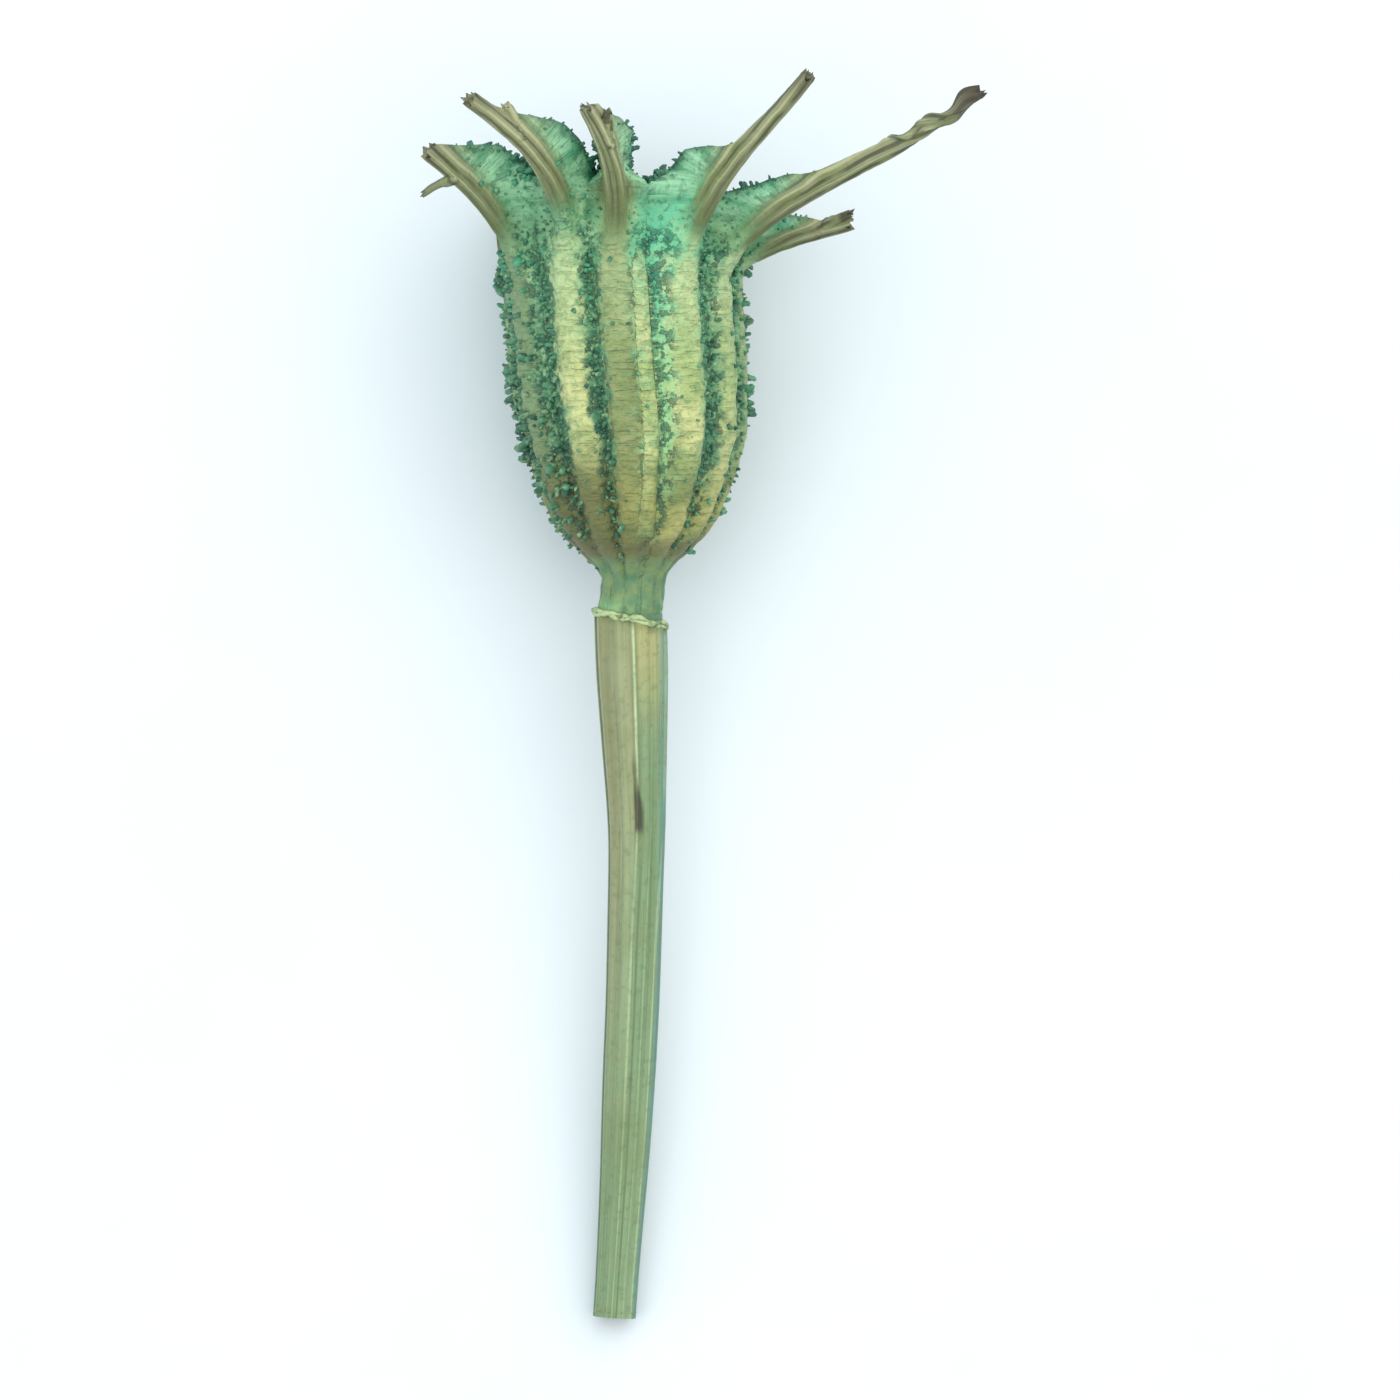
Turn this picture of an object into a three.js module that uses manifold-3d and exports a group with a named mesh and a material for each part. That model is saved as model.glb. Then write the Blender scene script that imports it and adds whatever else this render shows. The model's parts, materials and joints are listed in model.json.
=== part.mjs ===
// A dried nigella seed pod on a cut length of its stem, lying on its side.
// Eleven carpels are grown together into a ribbed barrel on a short neck. Each carpel's keel runs up its back
// and out into a horn, whose two wavy lips stand open along the top. Small warts cover the barrel between the
// keels. The stem is ribbed, and ends at the pod in a swollen top with a ragged rim, the flower's scar.
// Millimetres, +Z up. z = 0 is the surface that two horn tips and the stem's cut end rest on.
import * as THREE from "three";
import { mergeVertices } from "three/addons/utils/BufferGeometryUtils.js";
import Module from "manifold-3d";

const wasm = await Module();
wasm.setup();
const { lerp, smoothstep, degToRad } = THREE.MathUtils;

// Driving dimensions of the barrel, with heights measured up the pod's axis from the scar rim
const KEEL_PROFILE = [
  [1.55, 0.05],
  [1.5, 1.1],
  [1.65, 2.1],
  [2.45, 2.95],
  [3.3, 3.75],
  [4.0, 4.85],
  [4.55, 6.1],
  [5.05, 7.6],
  [5.45, 9.5],
  [5.65, 11.7],
  [5.66, 14.0],
  [5.75, 16.2],
].map(([radius, height]) => new THREE.Vector2(radius, height));
const SHOULDER = KEEL_PROFILE.at(-1);
const RIB_HEIGHT = 0.75;
const RIB_FULLNESS = 0.8;
const CROWN_HEIGHT = 18.6;
const VALLEY_HEIGHT = 20.2;
const VALLEY_SLOPE = 2.5;
const VALLEY_RADIUS = 5.5;
const PAST_AXIS = 0.3;
const FLANK_OVERLAP = 1.03;
const BOSS_HEIGHT = 18.85;
const BOSS_RADIUS = 0.95;
const BOSS_ROUND = 0.6;
const VEIN_AZIMUTH = 8;
const VEIN_SINK = 0.75;
const VEIN_TOP = new THREE.Vector2(5.5, 18.4);
const VEIN_HALF_WIDTH = 0.6;

// How far the barrel's middle strays sideways, by height, because the whole pod leans a little
const SWAY = [
  [0, 0],
  [2.5, 0.2],
  [8.5, 0.2],
  [11.8, -0.13],
  [14.1, -0.27],
  [16.4, -0.45],
  [40, -0.45],
];

// Driving dimensions of a horn, with lengths measured along its keel from the shoulder
const LIP_HEIGHT = 2.8;
const LIP_THICKNESS = 0.62;
const LIP_START = 0.22;
const LIP_CREST = 0.9;
const LIP_FALL = 0.8;
const STYLE_START = 1.35;
const LIP_WAVE = 0.05;
const HORN_REACH = 0.38;
const STRAP_DEPTH = 0.35;
const WEB_MARGIN = 0.35;
const STYLE_THICKNESS = 1.2;
const STYLE_HALF_WIDTH = 0.6;
const TIP_HALF_WIDTH = 0.34;
const KNOTS_START = 0.62;
const KNOT_AT = 0.8;
const KNOT_PITCH = 0.15;
const HORN_STEPS = [0.14, 0.26, 0.38, 0.5, 0.62, 0.74, 0.86, 0.98, 1.12, 1.3];
const STYLE_STEP = 1.9;
const STRAND_ROOT = 0.7;
const STRAND_WIDTHS = [0.75, 0.6];
const STRAND_THICKNESS = 0.6;

// Each carpel's keel azimuth, and its horn's tip as azimuth, radius and height. Azimuths are in degrees round
// the pod from the side that faces up. lip scales the lips' height, free is how far they run, and start is the
// multiple of free at which only the style is left. lean is the tip's slope, bow how far the horn swells out
// at its foot, pace how late it turns to its tip's azimuth, and swing how far it bends aside on the way. end is
// the tip's thickness, knots how far a style swells, turn its twist, and split the tip of the strand that a
// broken horn has split off.
const PLAIN = { start: STYLE_START, bow: 0.15, pace: 1.5, swing: 0, end: 0.62, knots: 0, turn: 0 };
const CARPELS = [
  { keel: -62, tip: [-65, 10.3, 21.6], lip: 0.95, free: 5.4, lean: 36, bow: 0.6, end: 0.8, split: [-70, 9.9, 20] },
  { keel: -27, tip: [-40, 11.3, 23.9], lip: 0.9, free: 6.6, lean: 44, swing: 4, end: 0.8, split: [-33, 9.8, 23.9] },
  { keel: -5, tip: [-11, 8.7, 23.6], lip: 0.98, free: 6.4, lean: 62, swing: 5, end: 0.7, split: [-4, 8.1, 23.7] },
  { keel: 33, tip: [46.7, 12.5, 25.1], lip: 0.8, free: 5.8, start: 1.1, lean: 50, bow: 0.3, pace: 0.7, end: 0.6 },
  { keel: 62, tip: [69, 18.3, 24.4], lip: 0.65, free: 4.9, lean: 40, bow: 1.9, pace: 0.7, knots: 0.3, turn: 200 },
  { keel: 88, tip: [88, 11.05, 18.3], lip: 0.5, free: 3.4, lean: 14, bow: 0.6, split: [85, 11, 19.1] },
  { keel: 120, tip: [114, 7.9, 19.8], lip: 0.6, free: 3.4, lean: 40 },
  { keel: 153, tip: [150, 9.4, 19.6], lip: 0.7, free: 3.8, lean: 24 },
  { keel: 188, tip: [187, 7.7, 19.9], lip: 0.6, free: 3.4, lean: 40 },
  { keel: 222, tip: [213, 9.7, 19.6], lip: 0.7, free: 3.8, lean: 24 },
  { keel: 260, tip: [250, 7.2, 20.2], lip: 0.6, free: 3.4, lean: 40 },
].map((carpel) => ({ ...PLAIN, ...carpel }));


// Driving dimensions of the warts
const WART_HEIGHT = 0.42;
const WART_HALF_WIDTH = 0.42;
const WART_ROOT = 0.3;
const WART_PITCH = 1.9;
const WART_LOWEST = 2.9;

// Driving dimensions of the stem, with depths measured down from the scar rim
const STEM_LENGTH = 33;
const STEM_RADII = [
  [0, 1.6],
  [1, 1.68],
  [4, 1.56],
  [10.4, 1.25],
  [22.4, 1.18],
  [30, 0.97],
  [STEM_LENGTH, 0.95],
];
const STEM_BEND = [
  [0, 0, 0],
  [-10, 0.32, 0.1],
  [-18, 0.12, 0.15],
  [-26, -0.28, 0.1],
  [-STEM_LENGTH, -0.75, 0],
];
const STEM_RIBS = 9;
const STEM_RIB_HEIGHT = 0.07;
const RIM_RADIUS = 1.8;
const RIM_THICKNESS = 0.28;
const JOINT_GAP = 0.05;

// How the pod lies: the axis rises from the stem's cut end to the crown
const TILT = degToRad(7.6);
const AXIS_HEIGHT = 5.2;

function solidOf(geometry) {
  const bare = geometry.clone();
  bare.deleteAttribute("normal");
  bare.deleteAttribute("uv");
  const merged = mergeVertices(bare, 1e-5);
  const vertProperties = merged.attributes.position.array;
  const triVerts = new Uint32Array(merged.index.array);
  return new wasm.Manifold(new wasm.Mesh({ numProp: 3, vertProperties, triVerts }));
}

// The outer body alone: any hollow that joining has sealed is filled, and any loose scrap is dropped
function wholeBody(solid) {
  return solid.decompose().reduce((best, piece) => (piece.volume() > best.volume() ? piece : best));
}

function geometryOf(solid) {
  const { vertProperties, triVerts } = solid.getMesh();
  const geometry = new THREE.BufferGeometry();
  geometry.setAttribute("position", new THREE.BufferAttribute(vertProperties, 3));
  geometry.setIndex(new THREE.BufferAttribute(triVerts, 1));
  geometry.computeVertexNormals();
  return geometry;
}

// A closed solid through loops of points, with both ends closed by a fan
function loft(loops) {
  const size = loops[0].length;
  const middle = (loop) => loop.reduce((sum, p) => sum.add(p), new THREE.Vector3()).divideScalar(size);
  const points = [...loops.flat(), middle(loops[0]), middle(loops.at(-1))];
  const index = [];
  for (let row = 0; row < loops.length - 1; row++) {
    for (let i = 0; i < size; i++) {
      const a = row * size + i;
      const b = row * size + ((i + 1) % size);
      index.push(a, b, b + size, a, b + size, a + size);
    }
  }
  const first = loops.length * size;
  const last = first - size;
  for (let i = 0; i < size; i++) {
    const next = (i + 1) % size;
    index.push(first, next, i, first + 1, last + i, last + next);
  }
  const geometry = new THREE.BufferGeometry().setFromPoints(points);
  geometry.setIndex(index);
  return solidOf(geometry);
}

function interpolate(table, x) {
  const next = Math.max(1, table.findIndex(([at]) => at >= x));
  const [x0, y0] = table[next - 1];
  const [x1, y1] = table[next];
  return lerp(y0, y1, smoothstep(x, x0, x1));
}

// The pod's own frame: Y up its axis, Z to the side that faces up as it lies. The middle sways with height.
function inPod(azimuth, radius, height, sideways = 0) {
  const across = Math.sin(azimuth);
  const towards = Math.cos(azimuth);
  return new THREE.Vector3(
    radius * across + sideways * towards + interpolate(SWAY, height),
    height,
    radius * towards - sideways * across,
  );
}

// How far a point lies inside the web that joins the carpels, in millimetres, and negative outside it
function insideWeb(radius, height, ribTop) {
  if (height <= SHOULDER.y) return ribTop - ribHeight(height) - radius;
  const flare = smoothstep(height, SHOULDER.y, VALLEY_HEIGHT);
  const wall = lerp(SHOULDER.x - RIB_HEIGHT, VALLEY_RADIUS, flare);
  const rim = lerp(CROWN_HEIGHT, VALLEY_HEIGHT, smoothstep(radius, 0, VALLEY_RADIUS));
  return Math.min(wall - radius, (rim - height) / VALLEY_SLOPE);
}

function ribHeight(height) {
  return RIB_HEIGHT * lerp(0.15, 1, smoothstep(height, 0.5, 6));
}

// Half the angle from this carpel's keel to the next one on the given side
function halfAngle(order, side) {
  const next = CARPELS[(order + side + CARPELS.length) % CARPELS.length];
  const apart = (((next.keel - CARPELS[order].keel) * side) % 360) + 360;
  return degToRad(apart % 360) / 2;
}

function hornCurve(carpel) {
  const [, radius, height] = carpel.tip;
  const slope = degToRad(carpel.lean);
  const tip = new THREE.Vector2(radius, height);
  const reach = tip.distanceTo(SHOULDER) * HORN_REACH;
  return new THREE.CubicBezierCurve(
    SHOULDER,
    new THREE.Vector2(SHOULDER.x + carpel.bow, lerp(SHOULDER.y, height, 0.4)),
    tip.clone().sub(new THREE.Vector2(Math.cos(slope), Math.sin(slope)).multiplyScalar(reach)),
    tip,
  );
}

// A section of a horn at a distance past the shoulder: its keel, its ventral edge and its azimuth
function sectionAt(carpel, curve, along) {
  const share = Math.min(along / curve.getLength(), 1);
  const stage = along / carpel.free;
  const keel = curve.getPointAt(share);
  const tangent = curve.getTangentAt(share);
  const lipEnd = smoothstep(stage, LIP_FALL, carpel.start);
  const wave = LIP_WAVE * Math.sin(along * 2.7 + carpel.keel) * (1 - lipEnd);
  const knots = carpel.knots * smoothstep(share, KNOTS_START, KNOTS_START + KNOT_PITCH / 2);
  const swell = 1 + knots * Math.cos((2 * Math.PI * (share - KNOT_AT)) / KNOT_PITCH);
  const style = lerp(STYLE_THICKNESS, carpel.end, share) * swell;
  const lip = lerp(LIP_HEIGHT * carpel.lip * (1 + wave), style, lipEnd);
  const axisHeight = lerp(keel.y, CROWN_HEIGHT, smoothstep(stage, 0, 0.4));
  const onAxis = new THREE.Vector2(-PAST_AXIS, axisHeight);
  const onLip = new THREE.Vector2(-tangent.y, tangent.x).multiplyScalar(lip).add(keel);
  const edge = onAxis.lerp(onLip, smoothstep(stage, LIP_START, LIP_CREST));
  const aside = carpel.swing * Math.sin(Math.PI * share);
  const azimuth = degToRad(lerp(carpel.keel, carpel.tip[0], share ** carpel.pace) + aside);
  const strayed = azimuth - degToRad(carpel.keel);
  const twist = degToRad(carpel.turn) * smoothstep(share, 0.6, 1);
  return { keel, edge, azimuth, strayed, stage, share, lipEnd, twist };
}

// The lateral half-width of a section's wall at a depth from the keel towards the ventral edge: a rounded rib
// on the barrel, then a strap with two lips standing on it, which the web joins to its neighbours low down
function halfWidth(section, depth, reach, angle) {
  const { keel, edge, stage, lipEnd, share } = section;
  const at = keel.clone().lerp(edge, depth / reach);
  const rib = ribHeight(keel.y);
  const flank = Math.max(at.x, 0) * Math.tan(angle) * FLANK_OVERLAP + 0.05;
  const lobe = flank * (Math.acos(1 - 2 * Math.min(depth / rib, 1)) / Math.PI) ** RIB_FULLNESS;
  const style = lerp(STYLE_HALF_WIDTH, TIP_HALF_WIDTH, share);
  const crest = lerp(Math.min(1, 0.2 + 0.15 * Math.max(edge.x, 0)), style * 0.8, lipEnd);
  const strap = style * Math.min(1, depth / STRAP_DEPTH) ** 0.5;
  const free = strap + (crest - style) * smoothstep(depth / reach, 0.2, 1);
  const margin = lerp(rib, WEB_MARGIN, smoothstep(stage, 0, 0.5));
  const fused = smoothstep(insideWeb(at.x, at.y, keel.x), -margin, 0);
  return lerp(lobe, lerp(free, flank, fused), smoothstep(stage, 0, 0.35));
}

// The loop of points round one section, from the keel up one wall, over its lip, and back down the other
function loopOf(section, angles) {
  const { keel, edge, azimuth, strayed, stage, lipEnd, twist } = section;
  const reach = keel.distanceTo(edge);
  const rib = ribHeight(keel.y);
  const open = smoothstep(stage, 0.5, LIP_CREST) * (1 - lipEnd);
  const slit = Math.max(0.08, (reach - 0.95) * open);
  const freed = smoothstep(stage, 0.2, 0.8);
  const depths = [rib * 0.07, rib * 0.3, rib * 0.7, rib + 0.04, reach].map((depth, step) =>
    lerp(depth, [0.05, 0.25, 0.5, 0.75, 1][step] * reach, freed),
  );
  const corner = (side) => {
    const angle = angles[side] - side * strayed;
    const wall = depths.map((depth) => [depth, halfWidth(section, depth, reach, angle)]);
    return [...wall, [reach - 0.02, Math.max(0.04, (wall.at(-1)[1] - LIP_THICKNESS) * open)]];
  };
  const right = corner(1);
  const left = corner(-1).reverse();
  const flat = [[0, 0], ...right, [reach - slit, 0], ...left.map(([depth, width]) => [depth, -width])];
  const turned = new THREE.Vector2();
  return flat.map(([depth, width]) => {
    turned.set(width, depth - reach / 2).rotateAround(new THREE.Vector2(), twist);
    const at = keel.clone().lerp(edge, 0.5 + turned.y / reach);
    return inPod(azimuth, at.x, at.y, turned.x);
  });
}

function sectionsOf(carpel) {
  const curve = hornCurve(carpel);
  const length = curve.getLength();
  const body = KEEL_PROFILE.map((keel) => ({
    keel,
    edge: new THREE.Vector2(-PAST_AXIS, keel.y),
    azimuth: degToRad(carpel.keel),
    strayed: 0,
    stage: 0,
    share: 0,
    lipEnd: 0,
    twist: 0,
  }));
  const steps = HORN_STEPS.map((step) => step * carpel.free).filter((step) => step < length - 0.3);
  while (length - steps.at(-1) > STYLE_STEP * 1.3) steps.push(steps.at(-1) + STYLE_STEP);
  steps.push(length);
  return [...body, ...steps.map((along) => sectionAt(carpel, curve, along))];
}

// A strand split off a broken horn: a flat strap from the horn's own end to a tip beside it
function strand(carpel) {
  const curve = hornCurve(carpel);
  const { keel, azimuth } = sectionAt(carpel, curve, curve.getLength() * STRAND_ROOT);
  const [tipAzimuth, radius, height] = carpel.split;
  const from = inPod(azimuth, keel.x - 0.2, keel.y + 0.2);
  const to = inPod(degToRad(tipAzimuth), radius, height);
  const along = to.clone().sub(from).normalize();
  const across = inPod(azimuth, 0, 0, 1).cross(along).cross(along).normalize();
  const over = along.clone().cross(across);
  const corners = [[-1, -1], [1, -1], [1, 1], [-1, 1]];
  const loops = [0, 0.5, 1].map((share) =>
    corners.map(([a, b]) =>
      from.clone().lerp(to, share)
        .addScaledVector(across, (a * lerp(...STRAND_WIDTHS, share)) / 2)
        .addScaledVector(over, (b * STRAND_THICKNESS) / 2),
    ),
  );
  return loft(loops);
}

// Warts: small spikes on both flanks of each keel, staggered, from the foot of the barrel out over the lips
function wart(at, outward) {
  const spread = new THREE.Quaternion().setFromUnitVectors(new THREE.Vector3(0, 0, 1), outward);
  const corners = [0, 1, 2].map((i) => {
    const turn = (i / 3) * 2 * Math.PI + at.y;
    return new THREE.Vector3(Math.cos(turn), Math.sin(turn), 0).multiplyScalar(WART_HALF_WIDTH);
  });
  const root = corners.map((p) => p.clone().setZ(-WART_ROOT).applyQuaternion(spread).add(at));
  const peak = outward.clone().multiplyScalar(WART_HEIGHT).add(at);
  const geometry = new THREE.BufferGeometry().setFromPoints([...root, peak]);
  geometry.setIndex([0, 2, 1, 0, 1, 3, 1, 2, 3, 2, 0, 3]);
  return solidOf(geometry);
}

function wartsOn(loops) {
  const made = [];
  const size = loops[0].length;
  let travelled = 0;
  for (let row = 1; row < loops.length - 3; row++) {
    const run = loops[row][0].distanceTo(loops[row + 1][0]);
    for (; travelled < run; travelled += WART_PITCH) {
      const share = travelled / run;
      for (const side of [1, -1]) {
        const [ridge, foot] = [3, 4].map((step) => {
          const spot = (side * step + size) % size;
          return loops[row][spot].clone().lerp(loops[row + 1][spot], share);
        });
        const at = ridge.clone().lerp(foot, (made.length >> 1) % 2 ? 0 : 0.6);
        const up = loops[row + 1][0].clone().sub(loops[row][0]);
        const normal = foot.clone().sub(ridge).cross(up).multiplyScalar(side).normalize();
        const outward = normal.add(new THREE.Vector3(at.x, 0, at.z).normalize()).normalize();
        if (at.y > WART_LOWEST) made.push(wart(at, outward));
      }
    }
    travelled -= run;
  }
  return made;
}

// A low rounded vein that runs up the barrel between two keels
function vein() {
  const azimuth = degToRad(VEIN_AZIMUTH);
  const across = inPod(azimuth, 0, 0, 1);
  const outward = inPod(azimuth, 1, 0);
  const loops = [...KEEL_PROFILE.slice(4), VEIN_TOP].map((keel) => {
    const middle = inPod(azimuth, keel.x - VEIN_SINK * (ribHeight(keel.y) / RIB_HEIGHT), keel.y);
    return Array.from({ length: 8 }, (_, i) =>
      middle.clone()
        .addScaledVector(across, Math.sin((i * Math.PI) / 4) * VEIN_HALF_WIDTH)
        .addScaledVector(outward, Math.cos((i * Math.PI) / 4) * VEIN_HALF_WIDTH),
    );
  });
  return loft(loops);
}

// The carpels meet round one column, which ends in a low boss in the middle of the crown
function column() {
  const outline = [
    [0, BOSS_HEIGHT],
    [BOSS_RADIUS * 0.7, BOSS_HEIGHT - BOSS_ROUND / 4],
    [BOSS_RADIUS, BOSS_HEIGHT - BOSS_ROUND],
    [BOSS_RADIUS, KEEL_PROFILE[0].y],
    [0, KEEL_PROFILE[0].y],
  ].map(([radius, height]) => new THREE.Vector2(radius, height));
  return solidOf(new THREE.LatheGeometry(outline.reverse(), CARPELS.length));
}

function capsuleSolid() {
  const parts = CARPELS.flatMap((carpel, order) => {
    const angles = { 1: halfAngle(order, 1), [-1]: halfAngle(order, -1) };
    const loops = sectionsOf(carpel).map((section) => loopOf(section, angles));
    const strands = carpel.split ? [strand(carpel)] : [];
    return [loft(loops), ...strands, ...wartsOn(loops)];
  });
  return wasm.Manifold.union([...parts, vein(), column()]);
}

// The stem: a ribbed rod along a gentle bend, with the scar's ragged rim round its top
function stemSolid() {
  const bends = STEM_BEND.map(([height, x, z]) => new THREE.Vector3(x, height, z));
  const route = new THREE.CatmullRomCurve3(bends);
  const around = STEM_RIBS * 2;
  const rows = 16;
  const loops = [];
  for (let row = rows; row >= 0; row--) {
    const share = row / rows;
    const at = route.getPointAt(share);
    const radius = interpolate(STEM_RADII, share * STEM_LENGTH);
    const loop = [];
    for (let i = 0; i < around; i++) {
      const turn = (i / around) * 2 * Math.PI;
      const ribbed = radius + (i % 2 ? -STEM_RIB_HEIGHT : STEM_RIB_HEIGHT);
      loop.push(new THREE.Vector3(Math.sin(turn) * ribbed, 0, Math.cos(turn) * ribbed).add(at));
    }
    loops.push(loop);
  }
  loops.at(-1).forEach((point) => point.setY(0.05 - JOINT_GAP));
  const rod = loft(loops);
  const lathe = [
    [RIM_RADIUS - 0.6, -RIM_THICKNESS - 0.25],
    [RIM_RADIUS - 0.08, -RIM_THICKNESS],
    [RIM_RADIUS, -RIM_THICKNESS / 2],
    [RIM_RADIUS - 0.1, 0],
    [RIM_RADIUS - 0.6, 0],
    [RIM_RADIUS - 0.6, -RIM_THICKNESS - 0.25],
  ].map(([radius, height]) => new THREE.Vector2(radius, height));
  return rod.add(solidOf(new THREE.LatheGeometry(lathe, 22)));
}

const LOOKS = {
  capsule: { color: 0x8fae72, roughness: 0.85, metalness: 0 },
  stem: { color: 0x9aa274, roughness: 0.75, metalness: 0 },
};

const pod = new THREE.Group();
pod.rotation.x = TILT;
pod.position.z = AXIS_HEIGHT;
pod.updateMatrixWorld(true);

// What would sink below the surface is cut flat: a small spot under each of the three resting points
const floor = new THREE.BoxGeometry(200, 200, 40).translate(0, 0, -20);
floor.applyMatrix4(pod.matrixWorld.clone().invert());
const surface = solidOf(floor);
for (const [name, solid] of [["capsule", capsuleSolid()], ["stem", stemSolid()]]) {
  const geometry = geometryOf(wholeBody(solid.subtract(surface)));
  const mesh = new THREE.Mesh(geometry, new THREE.MeshStandardMaterial(LOOKS[name]));
  mesh.name = name;
  pod.add(mesh);
}

// The origin is the middle of the bounding box's bottom face
const middle = new THREE.Box3().setFromObject(pod, true).getCenter(new THREE.Vector3());
const part = new THREE.Group();
part.position.set(-middle.x, -middle.y, 0);
part.add(pod);
export default part;
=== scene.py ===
import json
import logging
from dataclasses import dataclass, field
from enum import Enum
from math import cos, pi, radians, sin, tan

import bmesh
import bpy
import numpy as np
from mathutils import Matrix, Vector, kdtree, noise

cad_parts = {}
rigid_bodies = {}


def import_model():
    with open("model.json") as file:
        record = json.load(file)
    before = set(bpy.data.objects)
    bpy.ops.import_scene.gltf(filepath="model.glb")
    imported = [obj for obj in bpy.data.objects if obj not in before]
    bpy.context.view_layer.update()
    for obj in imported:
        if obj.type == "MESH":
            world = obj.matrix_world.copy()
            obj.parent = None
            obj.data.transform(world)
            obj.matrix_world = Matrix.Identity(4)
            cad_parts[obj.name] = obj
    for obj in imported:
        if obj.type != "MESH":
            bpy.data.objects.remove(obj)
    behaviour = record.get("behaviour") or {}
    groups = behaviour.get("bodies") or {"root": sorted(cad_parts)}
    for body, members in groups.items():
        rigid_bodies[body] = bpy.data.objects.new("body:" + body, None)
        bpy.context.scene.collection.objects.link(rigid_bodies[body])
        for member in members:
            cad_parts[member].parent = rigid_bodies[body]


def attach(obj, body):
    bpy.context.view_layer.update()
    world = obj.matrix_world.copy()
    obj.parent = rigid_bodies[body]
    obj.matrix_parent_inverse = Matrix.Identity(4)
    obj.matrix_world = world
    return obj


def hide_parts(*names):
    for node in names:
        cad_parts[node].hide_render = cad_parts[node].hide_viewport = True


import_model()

LOG = logging.getLogger("seed_pod")
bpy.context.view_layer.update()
MM = 0.001
FURROW_PITCH = 0.7  # millimetres between the furrows of a strap
SCAR_SLANT = 0.33  # millimetres that the scar stands higher on its left, and lower on its right


# Shared helpers


def srgb(red: int, green: int, blue: int) -> tuple[float, float, float, float]:
    """Turn a screen colour into the linear colour that a shader socket holds.

    Args:
        red: Red, 0 to 255.
        green: Green, 0 to 255.
        blue: Blue, 0 to 255.

    Returns:
        The linear colour with an alpha of 1.
    """
    parts = [value / 255 for value in (red, green, blue)]
    linear = [part / 12.92 if part <= 0.04045 else ((part + 0.055) / 1.055) ** 2.4 for part in parts]
    return (linear[0], linear[1], linear[2], 1.0)


def lerp(start: float, end: float, share: float) -> float:
    """Return the value a share of the way from start to end."""
    return start + (end - start) * share


def smooth(value: np.ndarray | float, low: float, high: float) -> np.ndarray | float:
    """Ease from 0 to 1 as a value goes from low to high.

    Args:
        value: The value or values.
        low: Where the result is still 0.
        high: Where the result reaches 1.

    Returns:
        The eased share, of the same form as value.
    """
    share = np.clip((value - low) / (high - low), 0.0, 1.0)
    return share * share * (3.0 - 2.0 * share)


def mesh_object(name: str, points: np.ndarray, faces: list[tuple[int, ...]]) -> bpy.types.Object:
    """Make an object from points in metres and faces, and put it in the scene.

    Args:
        name: The object's name.
        points: One row of x, y and z for each point.
        faces: The point numbers of each face.

    Returns:
        The new object.
    """
    mesh = bpy.data.meshes.new(name)
    mesh.from_pydata([tuple(point) for point in points], [], faces)
    mesh.validate()
    mesh.update()
    piece = bpy.data.objects.new(name, mesh)
    bpy.context.scene.collection.objects.link(piece)
    return piece


def settle(piece: bpy.types.Object) -> bpy.types.Object:
    """Turn a piece with modifiers into a plain mesh.

    Args:
        piece: The object whose modifiers are to be applied.

    Returns:
        The same object, with no modifiers left.
    """
    graph = bpy.context.evaluated_depsgraph_get()
    mesh = bpy.data.meshes.new_from_object(piece.evaluated_get(graph), depsgraph=graph)
    piece.modifiers.clear()
    old = piece.data
    piece.data = mesh
    mesh.name = piece.name
    if old.users == 0 and isinstance(old, bpy.types.Mesh):
        bpy.data.meshes.remove(old)
    return piece


def lofted(
    name: str, loops: list[np.ndarray], inset: float, lie: "Lie"
) -> tuple[bpy.types.Object, np.ndarray]:
    """Build a closed solid through loops of points.

    Args:
        name: The object's name.
        loops: Loops of the same length, in the pod's frame.
        inset: How far the middle of the last loop's cap is sunk.
        lie: Where the pod lies.

    Returns:
        The object, and its points in the pod's frame, of which the last two are the caps' middles.
    """
    size = len(loops[0])
    away = loops[-1].mean(axis=0) - loops[-2].mean(axis=0)
    middles = [loops[0].mean(axis=0), loops[-1].mean(axis=0) - away * (inset / np.linalg.norm(away))]
    points = np.vstack([*loops, *middles])
    first, last = len(loops) * size, (len(loops) - 1) * size
    faces = []
    for i in range(size):
        after = (i + 1) % size
        for row in range(0, last, size):
            faces.append((row + i, row + after, row + size + after, row + size + i))
        faces.append((first, after, i))
        faces.append((first + 1, last + i, last + after))
    return mesh_object(name, lie.place(points), faces), points


def shade_smooth(piece: bpy.types.Object) -> None:
    """Shade every face of a piece smooth."""
    piece.data.polygons.foreach_set("use_smooth", [True] * len(piece.data.polygons))


def store(piece: bpy.types.Object, name: str, values: np.ndarray) -> None:
    """Store one number for each point of a piece.

    Args:
        piece: The object.
        name: The attribute's name.
        values: One value for each point.
    """
    layer = piece.data.attributes.get(name) or piece.data.attributes.new(name, "FLOAT", "POINT")
    layer.data.foreach_set("value", np.asarray(values, dtype=np.float32))


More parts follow.
